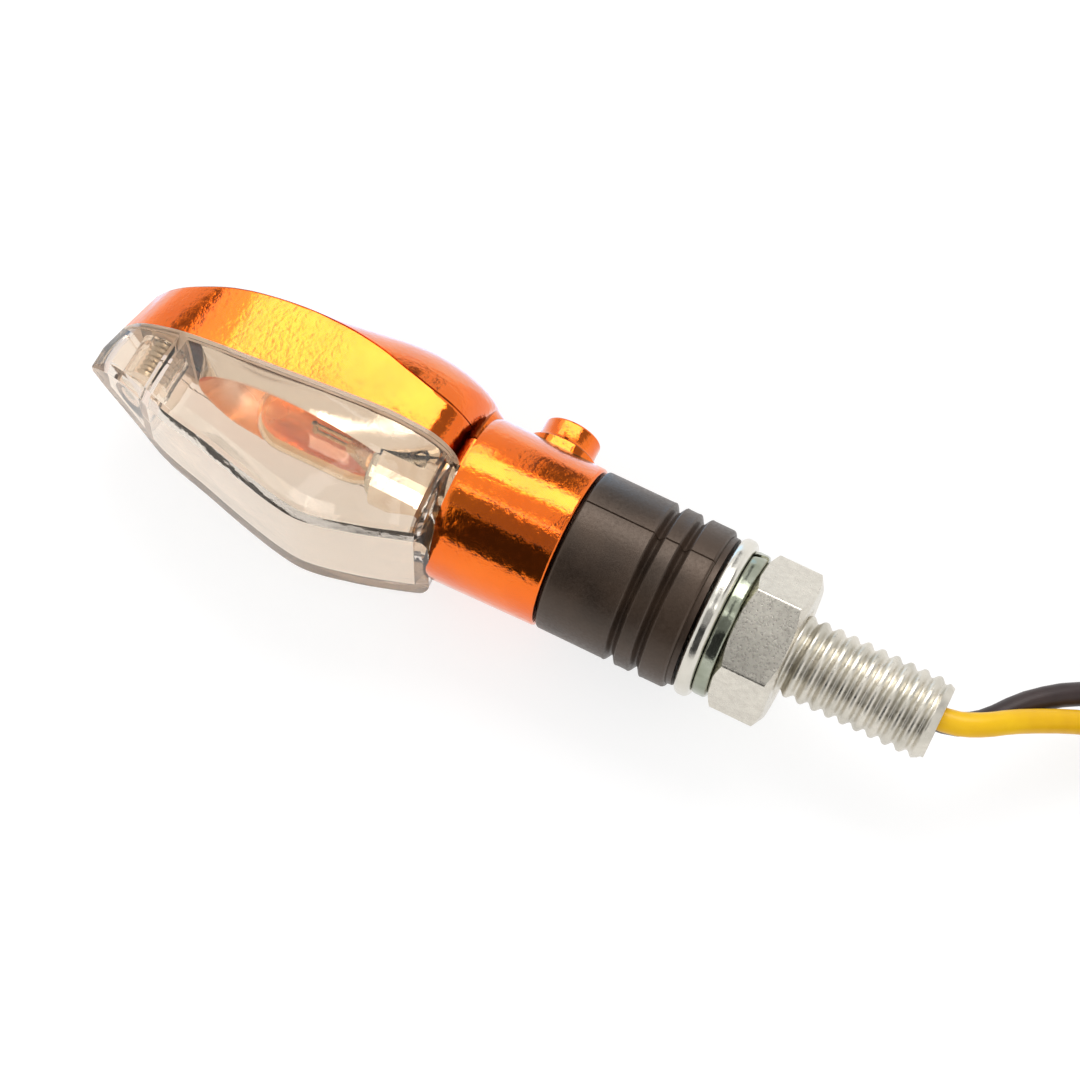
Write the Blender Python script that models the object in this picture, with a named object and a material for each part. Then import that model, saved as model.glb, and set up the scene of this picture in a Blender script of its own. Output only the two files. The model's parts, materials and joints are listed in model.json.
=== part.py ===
"""Motorcycle turn signal: a chromed head with a clear lens on a flexible rubber stem and a hollow threaded stud.

Metres, +Z up. The origin is the centre of the rubber seat face that a bracket closes on.
+X runs along the stem from the head to the stud's free end, and the lens faces -Y.
Each object is one physical piece, named as a bench mechanic would name it.
"""

import math

import bmesh
import bpy
from mathutils import Matrix, Vector

MM = 0.001

# Clearances
GAP = 0.3 * MM          # between two pieces that seat on each other
BORE_GAP = 0.3 * MM     # radial, between a shaft and the hole that it stands in

# Head, in plan: along X from the neck to the tip, across in Z
HEAD_LENGTH = 48.4 * MM
HEAD_HALF_WIDTH = 12.75 * MM
CORNER_RADIUS = 6.0 * MM
NECK_INSET = 2.0 * MM       # the head's blunt end stands this far in front of the collar
RIM_Y = 1.0 * MM            # plane where the housing and the lens meet
HOUSING_DEPTH = 12.9 * MM   # from the rim plane to the top of the hump
HOUSING_WALL = 3.0 * MM
SEAL_REBATE = 1.0 * MM      # width of the rim left outside the seal's rebate
REBATE_DEPTH = 1.2 * MM
SEAL_WIDTH = 0.9 * MM
SEAL_THICKNESS = 0.9 * MM

# Lens
LENS_DEPTH = 15.4 * MM      # from the rim plane to the deepest point of the front facet
LENS_WALL = 1.8 * MM
LENS_CHAMFER = 1.3 * MM
FRONT_HALF_WIDTH = 7.8 * MM
PARTITION_AT = 39.0 * MM    # from the collar to the middle of the tip partition
PARTITION = 1.4 * MM

# Rake of the head's ends: how far each moves along X for each unit in Y
TIP_RAKE = 0.245
RAKE_Y = -2.75 * MM         # the tip is at its full length here and below
RAKE_FROM = 34.0 * MM       # the rake starts this far from the collar
NECK_RAKE = 0.15
RAKE_NECK_TO = 10.0 * MM    # and ends this far from it

# Screws
LENS_SCREW_AT = 41.6 * MM   # from the collar
LENS_SCREW_RADIUS = 1.4 * MM
LENS_SCREW_HEAD_RADIUS = 2.3 * MM
LENS_SCREW_LENGTH = 9.0 * MM
LENS_BOSS_RADIUS = 2.7 * MM
BOSS_AT = 7.0 * MM          # from the head end of the collar to the clamp boss
BOSS_RADIUS = 3.65 * MM
BOSS_TOP = 13.4 * MM        # boss face from the stem's axis
CLAMP_SCREW_RADIUS = 2.0 * MM
CLAMP_HEAD_RADIUS = 2.45 * MM
CLAMP_HEAD_HEIGHT = 1.6 * MM
CLAMP_RECESS = 0.9 * MM

# Collar
COLLAR_LENGTH = 13.3 * MM
COLLAR_RADIUS = 10.45 * MM
COLLAR_END_RADIUS = 10.15 * MM
COLLAR_WALL = 1.75 * MM
COLLAR_FLOOR = 1.0 * MM

# Rubber stem
STEM_LENGTH = 17.7 * MM     # bare rubber between the collar and the seat face
STEM_RADIUS = 10.1 * MM
STEM_END_RADIUS = 10.1 * MM
GROOVE_DEPTH = 0.9 * MM
GROOVE_HALF_WIDTH = 0.55 * MM
GROOVE_ONE_AT = 7.8 * MM    # from the seat face
GROOVE_TWO_AT = 4.6 * MM
SEAT_LIP = 0.7 * MM
SEAT_LIP_STEP = 0.6 * MM
CORE_RADIUS = 3.6 * MM      # lead passage through the rubber

# Stud, nut and washers
STUD_RADIUS = 5.0 * MM
STUD_BORE_RADIUS = 3.2 * MM
STUD_LENGTH = 29.8 * MM     # from the seat face
STUD_END_CHAMFER = 0.7 * MM
FLANGE_RADIUS = 7.5 * MM
FLANGE_THICKNESS = 2.0 * MM
FLANGE_COVER = 3.2 * MM     # rubber between the flange and the seat face
WASHER_RADIUS = 10.0 * MM
WASHER_THICKNESS = 1.8 * MM
LOCK_WASHER_RADIUS = 9.1 * MM
LOCK_WASHER_THICKNESS = 1.5 * MM
LOCK_WASHER_SLOT = 0.9 * MM
NUT_ACROSS_FLATS = 17.0 * MM
NUT_HEIGHT = 7.0 * MM
NUT_CHAMFER_ANGLE = 30.0
NUT_TURN = 21.0             # degrees that one corner stands round from +Y towards +Z

# Stem insert
INSERT_RADIUS = 5.5 * MM
INSERT_WALL = 1.2 * MM
INSERT_LENGTH = 12.0 * MM

# Bulb and holder
SOCKET_RADIUS = 5.5 * MM
SOCKET_WALL = 0.6 * MM
SOCKET_LENGTH = 13.0 * MM
SOCKET_FLANGE = 0.8 * MM
BULB_CAP_RADIUS = 4.6 * MM
BULB_CAP_LENGTH = 9.2 * MM
BULB_GLASS_RADIUS = 4.4 * MM
BULB_GLASS_LENGTH = 16.0 * MM
BULB_GLASS_WALL = 0.5 * MM
BULB_STEM_RADIUS = 2.2 * MM
BULB_CLEARANCE = 0.5 * MM   # radial, between the bulb and the reflector's throat
PIN_RADIUS = 0.8 * MM
CONTACT_RADIUS = 2.6 * MM
CONTACT_THICKNESS = 0.6 * MM
SPRING_WIRE = 0.5 * MM
SPRING_RADIUS = 2.2 * MM
SPRING_TURNS = 2.0
SPRING_LENGTH = 2.9 * MM
INSULATOR_THICKNESS = 1.0 * MM

# Leads
LEAD_RADIUS = 1.45 * MM
LEAD_SPREAD = 1.6 * MM      # each lead's centre from the stud's axis, inside the bore
COIL_CENTRE_X = 76.0 * MM
COIL_CENTRE_Y = 2.0 * MM
COIL_INNER_TURN = 12.3 * MM
COIL_OUTER_TURN = 15.3 * MM
COIL_TURNS = 3
TIE_THICKNESS = 0.8 * MM
TIE_WIDTH = 3.0 * MM
TAIL_GAP = 0.4 * MM
TAIL_REACH = 27.0 * MM      # from the middle of the coil to the bullets
BULLET_RADIUS = 2.0 * MM
BULLET_LENGTH = 16.0 * MM

# Derived places along X
COLLAR_END_X = -STEM_LENGTH
HEAD_X = COLLAR_END_X - COLLAR_LENGTH       # where the collar meets the head
TIP_X = HEAD_X - HEAD_LENGTH
COLLAR_BORE = COLLAR_END_RADIUS - COLLAR_WALL
NECK_BORE = SOCKET_RADIUS + BORE_GAP
COLLAR_FLOOR_X = HEAD_X + COLLAR_FLOOR
CORNER_T = NECK_INSET + CORNER_RADIUS
CORNER_Z = HEAD_HALF_WIDTH * 0.98 - CORNER_RADIUS
FLOOR_Z = -HEAD_HALF_WIDTH                  # the surface that the head and the leads lie on
WASHER_X = GAP
LOCK_WASHER_X = WASHER_X + WASHER_THICKNESS + GAP
NUT_X = LOCK_WASHER_X + LOCK_WASHER_THICKNESS + GAP
SOCKET_FLANGE_X = COLLAR_FLOOR_X + GAP
INSULATOR_X = SOCKET_FLANGE_X + SOCKET_FLANGE + GAP
PLUG_X = INSULATOR_X + INSULATOR_THICKNESS + GAP    # the rubber fills the collar up to the insulator
CONTACT_X = INSULATOR_X - GAP - SPRING_LENGTH - GAP - CONTACT_THICKNESS
CAP_X = CONTACT_X - GAP                     # the bulb's end contact
BOSS_X = HEAD_X + BOSS_AT
LENS_RIM_Y = RIM_Y - GAP
REBATE_FLOOR_Y = RIM_Y + REBATE_DEPTH

# Curves of the head. Each pair is a share of the head's length from the collar to the tip, and the height there
# as a share of the size named with it.
PLAN = (  # of HEAD_HALF_WIDTH, from the end of the rounded corner
    (0.165, 0.980), (0.23, 1.0), (0.38, 0.905), (0.47, 0.83), (0.59, 0.75),
    (0.70, 0.68), (0.81, 0.56), (0.90, 0.40), (0.96, 0.235), (1.0, 0.05),
)
EDGE = (  # sharp back edge of the side band, of HOUSING_DEPTH behind the rim plane
    (-0.04, 0.30), (0.10, 0.335), (0.23, 0.43), (0.33, 0.545), (0.45, 0.63),
    (0.59, 0.655), (0.75, 0.60), (0.84, 0.54), (0.95, 0.46), (1.0, 0.40),
)
CREST = (  # centre line of the back, of HOUSING_DEPTH behind the rim plane
    (-0.04, 0.62), (0.0, 0.70), (0.045, 0.81), (0.10, 0.885), (0.19, 0.95), (0.28, 0.945),
    (0.38, 0.875), (0.50, 0.775), (0.62, 0.72), (0.78, 0.65), (0.92, 0.52), (1.0, 0.42),
)
FRONT = (  # front facet of the lens, of LENS_DEPTH in front of the rim plane
    (0.0, 0.67), (0.10, 0.80), (0.20, 0.92), (0.30, 0.99), (0.37, 0.98),
    (0.50, 0.895), (0.62, 0.80), (0.75, 0.705), (0.88, 0.545), (1.0, 0.43),
)
FRONT_WIDTH = (  # half width of the front facet, of FRONT_HALF_WIDTH
    (0.0, 0.92), (0.06, 1.0), (0.16, 1.0), (0.30, 0.96), (0.50, 0.94),
    (0.75, 0.80), (0.87, 0.61), (0.95, 0.34), (1.0, 0.07),
)


# ---------------------------------------------------------------- helpers

def clear_scene():
    for thing in list(bpy.data.objects):
        bpy.data.objects.remove(thing, do_unlink=True)


def finish(name, colour, roughness, metallic, alpha=1.0):
    """A Principled material for one kind of surface."""
    made = bpy.data.materials.get(name)
    if made:
        return made
    made = bpy.data.materials.new(name)
    made.use_nodes = True
    shader = made.node_tree.nodes["Principled BSDF"]
    shader.inputs["Base Color"].default_value = (*colour, 1.0)
    shader.inputs["Roughness"].default_value = roughness
    shader.inputs["Metallic"].default_value = metallic
    shader.inputs["Alpha"].default_value = alpha
    return made


def add_object(name, mesh, material, sharp_degrees=35.0):
    mesh.shade_smooth()
    mesh.set_sharp_from_angle(angle=math.radians(sharp_degrees))
    if material:
        mesh.materials.append(material)
    made = bpy.data.objects.new(name, mesh)
    bpy.context.scene.collection.objects.link(made)
    return made


def mesh_from(bm, name):
    bmesh.ops.remove_doubles(bm, verts=bm.verts, dist=1e-6)
    bmesh.ops.dissolve_degenerate(bm, edges=bm.edges, dist=1e-7)
    loose = [edge for edge in bm.edges if not edge.link_faces]
    bmesh.ops.delete(bm, geom=loose, context="EDGES")
    bmesh.ops.recalc_face_normals(bm, faces=bm.faces)
    mesh = bpy.data.meshes.new(name)
    bm.to_mesh(mesh)
    bm.free()
    return mesh


def turned(name, profile, material, segments=48, axis=(1, 0, 0), centre=(0, 0, 0)):
    """Spins a closed profile of (along, radius) pairs about an axis through the centre."""
    direction = Vector(axis)
    side = Vector((0, 0, 1)) if abs(direction.z) < 0.5 else Vector((1, 0, 0))
    bm = bmesh.new()
    place = Vector(centre)
    ring = [bm.verts.new(place + direction * a + side * r) for a, r in profile]
    edges = [bm.edges.new((a, b)) for a, b in zip(ring, ring[1:] + ring[:1])]
    bmesh.ops.spin(
        bm, geom=ring + edges, cent=place, axis=direction, angle=math.tau, steps=segments, use_merge=True
    )
    return add_object(name, mesh_from(bm, name), material)


def lofted(name, sections, material, sharp_degrees=35.0):
    """Skins a row of closed mirrored sections, and caps both ends with flat strips between mirrored points."""
    bm = bmesh.new()
    rings = [[bm.verts.new(point) for point in section] for section in sections]
    for first, second in zip(rings, rings[1:]):
        for i in range(len(first)):
            j = (i + 1) % len(first)
            bm.faces.new((first[i], first[j], second[j], second[i]))
    count = len(rings[0])
    for i in range(count // 2):
        strip = list(dict.fromkeys((i, i + 1, count - 2 - i, count - 1 - i)))
        bm.faces.new([rings[0][k] for k in strip])
        bm.faces.new([rings[-1][k] for k in reversed(strip)])
    return add_object(name, mesh_from(bm, name), material, sharp_degrees)


def prism(name, outline, low_y, high_y, material=None):
    """Extrudes a closed (x, z) outline from low_y to high_y."""
    bm = bmesh.new()
    face = bm.faces.new([bm.verts.new((x, low_y, z)) for x, z in outline])
    made = bmesh.ops.extrude_face_region(bm, geom=[face])
    moved = [v for v in made["geom"] if isinstance(v, bmesh.types.BMVert)]
    bmesh.ops.translate(bm, verts=moved, vec=(0, high_y - low_y, 0))
    return add_object(name, mesh_from(bm, name), material)


def block(name, low, high, material=None):
    bm = bmesh.new()
    size = [b - a for a, b in zip(low, high)]
    middle = [(a + b) / 2 for a, b in zip(low, high)]
    bmesh.ops.create_cube(bm, size=1.0, matrix=Matrix.Translation(middle) @ Matrix.Diagonal((*size, 1.0)))
    return add_object(name, mesh_from(bm, name), material)


def rod(name, radius, start, end, material=None, segments=32, along=(1, 0, 0), centre=(0, 0, 0)):
    """A plain cylinder between two places on an axis."""
    profile = [(start, 0.0), (start, radius), (end, radius), (end, 0.0)]
    return turned(name, profile, material, segments, along, centre)


def combine(target, tools, operation):
    """Cuts, joins or intersects with several tool objects in one step. They stay in the file as guides."""
    guides = bpy.data.collections.new("{}_{}_{}".format(target.name, operation.lower(), len(target.modifiers)))
    for tool in tools:
        guides.objects.link(tool)
        tool.hide_render = True
        tool.display_type = "WIRE"
    step = target.modifiers.new(operation.title(), "BOOLEAN")
    step.operation = operation
    step.solver = "EXACT"
    step.operand_type = "COLLECTION"
    step.collection = guides
    return target


def cut(target, *tools):
    return combine(target, tools, "DIFFERENCE")


def join(target, *tools):
    return combine(target, tools, "UNION")


def curve_at(points, share):
    """A smooth curve through (share, value) pairs, held flat past its ends."""
    if share <= points[0][0]:
        return points[0][1]
    if share >= points[-1][0]:
        return points[-1][1]
    i = max(k for k in range(len(points) - 1) if points[k][0] <= share)
    (a, va), (b, vb) = points[i], points[i + 1]

    def slope(k):
        low = points[max(k - 1, 0)]
        high = points[min(k + 1, len(points) - 1)]
        return (high[1] - low[1]) / (high[0] - low[0])

    s = (share - a) / (b - a)
    start, end = slope(i) * (b - a), slope(i + 1) * (b - a)
    return (
        va * (2 * s**3 - 3 * s**2 + 1) + start * (s**3 - 2 * s**2 + s)
        + vb * (3 * s**2 - 2 * s**3) + end * (s**3 - s**2)
    )


# ---------------------------------------------------------------- the head's form

def half_width(t, inset=0.0):
    """Half width of the head in plan at t from the collar, moved inwards by inset."""
    if t >= CORNER_T:
        return curve_at(PLAN, t / HEAD_LENGTH) * HEAD_HALF_WIDTH - inset
    radius = CORNER_RADIUS - inset
    across = max(0.0, radius**2 - (CORNER_T - t) ** 2)
    return CORNER_Z + math.sqrt(across)


def edge_y(t):
    return RIM_Y + curve_at(EDGE, t / HEAD_LENGTH) * HOUSING_DEPTH


def crest_y(t):
    return RIM_Y + curve_at(CREST, t / HEAD_LENGTH) * HOUSING_DEPTH


def front_y(t):
    return RIM_Y - curve_at(FRONT, t / HEAD_LENGTH) * LENS_DEPTH


def front_half_width(t):
    widest = curve_at(FRONT_WIDTH, t / HEAD_LENGTH) * FRONT_HALF_WIDTH
    return min(widest, 0.85 * half_width(max(t, NECK_INSET)))


def stations(first, last, corner_steps=5, body_steps=16):
    """Places along the head: close together round the corner and near the tip."""
    turn = CORNER_T - first
    corner = [CORNER_T - turn * math.cos(math.radians(90 * k / corner_steps)) for k in range(corner_steps)]
    body = [CORNER_T + (last - CORNER_T) * math.sin(math.pi / 2 * k / body_steps) ** 0.9 for k in range(body_steps + 1)]
    return corner + body


def mirrored(half):
    """Closes a half section of (y, z) pairs that ends on z = 0 with its mirror image."""
    return half + [(y, -z) for y, z in reversed(half[:-1])]


BACK_STEPS = (0.94, 0.86, 0.75, 0.60, 0.42, 0.22)


def housing_section(t, inset=0.0, rim=RIM_Y):
    """Flat rim, straight band up to the sharp edge, then the domed back."""
    wide = half_width(max(t, NECK_INSET + inset), inset)
    low, high = edge_y(t) - inset, crest_y(t) - inset
    high = max(high, low + 0.2 * MM)
    back = [(low + (high - low) * (1 - u**3.2), u * wide) for u in BACK_STEPS]
    return mirrored([(rim, wide), (low, wide), *back, (high, 0.0)])


def raked_x(t, y):
    """X of a point of the head: both of its ends lean, further out towards the lens's front."""
    at_tip = min(max((t - RAKE_FROM) / (HEAD_LENGTH - RAKE_FROM), 0.0), 1.0)
    at_neck = min(max((RAKE_NECK_TO - t) / (RAKE_NECK_TO - NECK_INSET), 0.0), 1.0)
    return HEAD_X - t + at_tip * TIP_RAKE * max(y - RAKE_Y, 0.0) + at_neck * NECK_RAKE * max(RIM_Y - y, 0.0)


def placed(section, t):
    return [(raked_x(t, y), y, z) for y, z in section]


def plan_outline(inset):
    """The head's plan at the rim as a closed (x, z) loop, moved inwards by inset."""
    last = HEAD_LENGTH
    while half_width(last, inset) < 0.4 * MM:
        last -= 0.1 * MM
    upper = [(raked_x(t, RIM_Y), half_width(t, inset)) for t in stations(NECK_INSET + inset, last, 5, 14)]
    return upper + [(x, -z) for x, z in reversed(upper)]


def lens_section(t, inset=0.0, rim=LENS_RIM_Y):
    """Side walls from the rim to a narrow chamfer, then the flat front facet."""
    wide = half_width(max(t, NECK_INSET + inset), inset)
    front = front_y(t) + inset
    narrow = max(front_half_width(t) - 0.6 * inset, 0.2 * MM)
    chamfer = min(LENS_CHAMFER, 0.35 * narrow)
    shoulder = min(narrow + chamfer, 0.96 * wide)
    middle_y = rim + 0.45 * (front + chamfer - rim)
    middle_z = wide + 0.40 * (shoulder - wide)
    return mirrored([(rim, wide), (middle_y, middle_z), (front + chamfer, shoulder), (front, narrow), (front, 0.0)])


# ---------------------------------------------------------------- head pieces

def make_housing(material):
    start = -1.5 * MM
    places = [start, 1.0 * MM, *stations(NECK_INSET, HEAD_LENGTH)]
    shell = lofted("housing", [placed(housing_section(t), t) for t in places], material, 28.0)

    collar = turned(
        "housing_collar",
        [
            (HEAD_X, 0.0), (HEAD_X, COLLAR_RADIUS), (COLLAR_END_X - 0.5 * MM, COLLAR_END_RADIUS),
            (COLLAR_END_X, COLLAR_END_RADIUS - 0.4 * MM), (COLLAR_END_X, 0.0),
        ],
        None, 48,
    )
    boss = turned(
        "housing_boss",
        [
            (COLLAR_BORE + 0.3 * MM, 0.0), (COLLAR_BORE + 0.3 * MM, BOSS_RADIUS + 0.7 * MM),
            (COLLAR_RADIUS + 0.1 * MM, BOSS_RADIUS + 0.7 * MM), (COLLAR_RADIUS + 0.6 * MM, BOSS_RADIUS),
            (BOSS_TOP - 0.3 * MM, BOSS_RADIUS), (BOSS_TOP, BOSS_RADIUS - 0.3 * MM), (BOSS_TOP, 0.0),
        ],
        None, 28, (0, 1, 0), (BOSS_X, 0, 0),
    )
    join(shell, collar, boss)

    rebate = prism("housing_rebate", plan_outline(SEAL_REBATE), RIM_Y - 2 * MM, REBATE_FLOOR_Y)
    last = PARTITION_AT - PARTITION
    cavity_places = stations(NECK_INSET + HOUSING_WALL, last, 5, 12)
    cavity = lofted(
        "housing_cavity",
        [placed(housing_section(t, HOUSING_WALL, RIM_Y - 1 * MM), t) for t in cavity_places],
        None,
    )
    neck = rod("housing_neck_bore", NECK_BORE, HEAD_X - NECK_INSET - 2 * HOUSING_WALL, COLLAR_FLOOR_X + 1 * MM, None, 40)
    bore = rod("housing_collar_bore", COLLAR_BORE, COLLAR_FLOOR_X, COLLAR_END_X + 1 * MM, None, 48)
    hole = rod(
        "housing_lens_screw_hole", LENS_SCREW_RADIUS + BORE_GAP, -1 * MM, BOSS_TOP,
        None, 24, (0, 1, 0), (HEAD_X - LENS_SCREW_AT, 0, 0),
    )
    seat = rod(
        "housing_lens_screw_seat", LENS_SCREW_HEAD_RADIUS + BORE_GAP, lens_screw_seat_y(), RIM_Y + HOUSING_DEPTH,
        None, 24, (0, 1, 0), (HEAD_X - LENS_SCREW_AT, 0, 0),
    )
    clamp_hole = rod(
        "housing_clamp_hole", CLAMP_SCREW_RADIUS + BORE_GAP, 0.0, BOSS_TOP + 1 * MM,
        None, 24, (0, 1, 0), (BOSS_X, 0, 0),
    )
    clamp_seat = rod(
        "housing_clamp_seat", CLAMP_HEAD_RADIUS + BORE_GAP, clamp_seat_y(), BOSS_TOP + 1 * MM,
        None, 28, (0, 1, 0), (BOSS_X, 0, 0),
    )
    return cut(shell, rebate, cavity, neck, bore, hole, seat, clamp_hole, clamp_seat)


def lens_screw_seat_y():
    return RIM_Y + 0.45 * (crest_y(LENS_SCREW_AT) - RIM_Y)


def clamp_seat_y():
    return BOSS_TOP - CLAMP_RECESS - CLAMP_HEAD_HEIGHT - GAP


def make_lens(material):
    body = lofted("lens", [placed(lens_section(t), t) for t in stations(NECK_INSET, HEAD_LENGTH)], material, 20.0)
    open_y = LENS_RIM_Y + 1 * MM
    main_last = PARTITION_AT - PARTITION / 2
    main = lofted(
        "lens_cavity",
        [
            placed(lens_section(t, LENS_WALL, open_y), t)
            for t in stations(NECK_INSET + LENS_WALL, main_last, 5, 14)
        ],
        None,
    )
    tip_first = PARTITION_AT + PARTITION / 2
    tip_last = HEAD_LENGTH - 1.6 * LENS_WALL
    tip_places = [tip_first + (tip_last - tip_first) * k / 3 for k in range(4)]
    tip = lofted("lens_tip_pocket", [placed(lens_section(t, LENS_WALL, open_y), t) for t in tip_places], None)
    boss = rod(
        "lens_screw_boss", LENS_BOSS_RADIUS, front_y(LENS_SCREW_AT), LENS_RIM_Y - GAP,
        None, 24, (0, 1, 0), (HEAD_X - LENS_SCREW_AT, 0, 0),
    )
    cut(tip, boss)
    hole = rod(
        "lens_screw_hole", LENS_SCREW_RADIUS + BORE_GAP, lens_screw_end_y() - GAP, LENS_RIM_Y + 2 * MM,
        None, 24, (0, 1, 0), (HEAD_X - LENS_SCREW_AT, 0, 0),
    )
    notch = rod("lens_bulb_notch", NECK_BORE + 0.2 * MM, HEAD_X - NECK_INSET - 2 * LENS_WALL, HEAD_X, None, 48)
    cut(body, main, notch)
    cut(body, tip)
    return cut(body, hole)


def lens_screw_end_y():
    return lens_screw_seat_y() + GAP - LENS_SCREW_LENGTH


def make_lens_seal(material):
    outer = plan_outline(SEAL_REBATE + GAP)
    inner = plan_outline(SEAL_REBATE + GAP + SEAL_WIDTH)
    top = REBATE_FLOOR_Y - GAP
    seal = prism("lens_seal", outer, top - SEAL_THICKNESS, top, material)
    hollow = prism("lens_seal_inside", inner, top - SEAL_THICKNESS - 1 * MM, top + 1 * MM)
    inside_x = HEAD_X - NECK_INSET - 2 * REFLECTOR_INSET
    notch = rod("lens_seal_notch", NECK_BORE + 0.2 * MM, inside_x, HEAD_X, None, 48)
    return cut(seal, hollow, notch)


REFLECTOR_INSET = SEAL_REBATE + GAP + SEAL_WIDTH + GAP
REFLECTOR_WALL = 0.9 * MM
REFLECTOR_SIDES = 40
BOWL_DEPTH = 8.2 * MM
BOWL_DROP = 2.6 * MM        # the bowl's lip stands this far in front of the rim
DECK_AT_NECK = 3.5 * MM     # least width of the deck round the bowl
DECK_AT_TIP = 0.5 * MM
DECK_AT_SIDE = 2.95 * MM
DECK_FROM = NECK_INSET + REFLECTOR_INSET
DECK_TO = PARTITION_AT - PARTITION / 2 - LENS_WALL
BOWL_HALF_LENGTH = (DECK_TO - DECK_AT_TIP - DECK_FROM - DECK_AT_NECK) / 2
BOWL_CENTRE_T = DECK_FROM + DECK_AT_NECK + BOWL_HALF_LENGTH
BOWL_HALF_WIDTH = HEAD_HALF_WIDTH - REFLECTOR_INSET - DECK_AT_SIDE
BOWL_MOUTH_Y = RIM_Y - BOWL_DROP


def deck_share(along, across):
    """How far out, as a multiple of the bowl's own outline, the deck reaches in one direction."""
    low, high = 1.0, 4.0
    for _ in range(24):
        middle = (low + high) / 2
        t = BOWL_CENTRE_T - along * middle
        inside = DECK_FROM < t < DECK_TO and abs(across) * middle < half_width(t, REFLECTOR_INSET)
        low, high = (middle, high) if inside else (low, middle)
    return low


def make_reflector(material):
    """A plated deck with an eye-shaped bowl: rings run from the bowl's bottom over its lip to the outer edge."""
    lip = []
    for k in range(REFLECTOR_SIDES):
        angle = math.tau * k / REFLECTOR_SIDES
        lip.append((BOWL_HALF_LENGTH * math.cos(angle), BOWL_HALF_WIDTH * math.sin(angle)))
    reach = [deck_share(along, across) for along, across in lip]
    centre_x = HEAD_X - BOWL_CENTRE_T
    edge = REBATE_FLOOR_Y - GAP - REFLECTOR_WALL
    rings = []
    for share in (0.16, 0.42, 0.66, 0.86, 1.0):
        y = BOWL_MOUTH_Y + BOWL_DEPTH * (1 - share**2.6)
        rings.append([(centre_x + along * share, y, across * share) for along, across in lip])
    for share in (0.5, 1.0):
        y = BOWL_MOUTH_Y + (edge - BOWL_MOUTH_Y) * share
        out = [1 + (far - 1) * share for far in reach]
        rings.append([(centre_x + along * u, y, across * u) for (along, across), u in zip(lip, out)])
    bm = bmesh.new()
    loops = [[bm.verts.new(point) for point in ring] for ring in rings]
    back = [[bm.verts.new((x, y + REFLECTOR_WALL, z)) for x, y, z in ring] for ring in rings]
    for side in (loops, back):
        for first, second in zip(side, side[1:]):
            for i in range(len(first)):
                j = (i + 1) % len(first)
                bm.faces.new((first[i], first[j], second[j], second[i]))
        bm.faces.new(side[0])
    for i in range(len(loops[-1])):
        j = (i + 1) % len(loops[-1])
        bm.faces.new((loops[-1][i], loops[-1][j], back[-1][j], back[-1][i]))
    reflector = add_object("reflector", mesh_from(bm, "reflector"), material, 30.0)
    opening = rod(
        "reflector_socket_opening", SOCKET_RADIUS + BORE_GAP, socket_mouth_x() - GAP, HEAD_X + 2 * MM, None, 48
    )
    throat = rod(
        "reflector_bulb_opening", BULB_CAP_RADIUS + BULB_CLEARANCE, cap_mouth_x() - 2.5 * MM, HEAD_X, None, 40
    )
    return cut(reflector, opening, throat)


# ---------------------------------------------------------------- bulb and holder

def socket_mouth_x():
    return SOCKET_FLANGE_X + SOCKET_FLANGE - SOCKET_LENGTH


def make_bulb_socket(material):
    mouth = socket_mouth_x()
    inner = SOCKET_RADIUS - SOCKET_WALL
    flange = COLLAR_BORE - BORE_GAP
    end = SOCKET_FLANGE_X + SOCKET_FLANGE
    socket = turned(
        "bulb_socket",
        [
            (mouth, inner), (mouth, SOCKET_RADIUS), (SOCKET_FLANGE_X, SOCKET_RADIUS),
            (SOCKET_FLANGE_X, flange), (end, flange), (end, inner),
        ],
        material, 36,
    )
    slots = []
    half = PIN_RADIUS + BORE_GAP
    for side, name in ((1, "upper"), (-1, "lower")):
        low, high = sorted((side * (inner - 1 * MM), side * (SOCKET_RADIUS + 1 * MM)))
        slots.append(block(
            "bulb_socket_slot_" + name, (mouth - 1 * MM, -half, low), (pin_x() + half, half, high)
        ))
        hook_low, hook_high = sorted((-side * half, side * (half + 2 * PIN_RADIUS)))
        slots.append(block(
            "bulb_socket_hook_" + name, (pin_x() - half, hook_low, low), (pin_x() + half, hook_high, high)
        ))
    return cut(socket, *slots)


def pin_x():
    return cap_mouth_x() + 5.4 * MM


def cap_mouth_x():
    return CAP_X - 0.8 * MM - BULB_CAP_LENGTH


def make_bulb_cap(material):
    mouth = cap_mouth_x()
    end = CAP_X - 0.8 * MM
    inner = BULB_STEM_RADIUS + 1.3 * MM
    cap = turned(
        "bulb_cap",
        [
            (mouth, inner), (mouth, BULB_CAP_RADIUS - 0.3 * MM), (mouth + 0.4 * MM, BULB_CAP_RADIUS),
            (end - 0.6 * MM, BULB_CAP_RADIUS), (end, BULB_CAP_RADIUS - 0.6 * MM), (end, 1.5 * MM),
            (CAP_X, 1.1 * MM), (CAP_X, 0.0), (end - 1.2 * MM, 0.0), (end - 1.2 * MM, inner),
        ],
        material, 20,
    )
    reach = SOCKET_RADIUS - 0.4 * MM
    pins = rod("bulb_cap_pins", PIN_RADIUS, -reach, reach, None, 12, (0, 0, 1), (pin_x(), 0, 0))
    core = rod("bulb_cap_core", inner, mouth - 1 * MM, end - 1.2 * MM, None, 20)
    return cut(join(cap, pins), core)


def glass_profile(offset=0.0):
    """Radius of the envelope along X, from its neck in the cap to the round tip."""
    mouth = cap_mouth_x()
    neck = BULB_CAP_RADIUS - 1.0 * MM - offset
    wide = BULB_GLASS_RADIUS - offset
    tip = mouth - BULB_GLASS_LENGTH + offset
    points = [(mouth - 0.3 * MM, neck), (mouth - 1.5 * MM, wide - 0.25 * MM), (mouth - 3 * MM, wide)]
    for k in range(5):
        angle = math.radians(90 * k / 4)
        points.append((tip + wide * (1 - math.sin(angle)), wide * math.cos(angle)))
    return points


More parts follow.
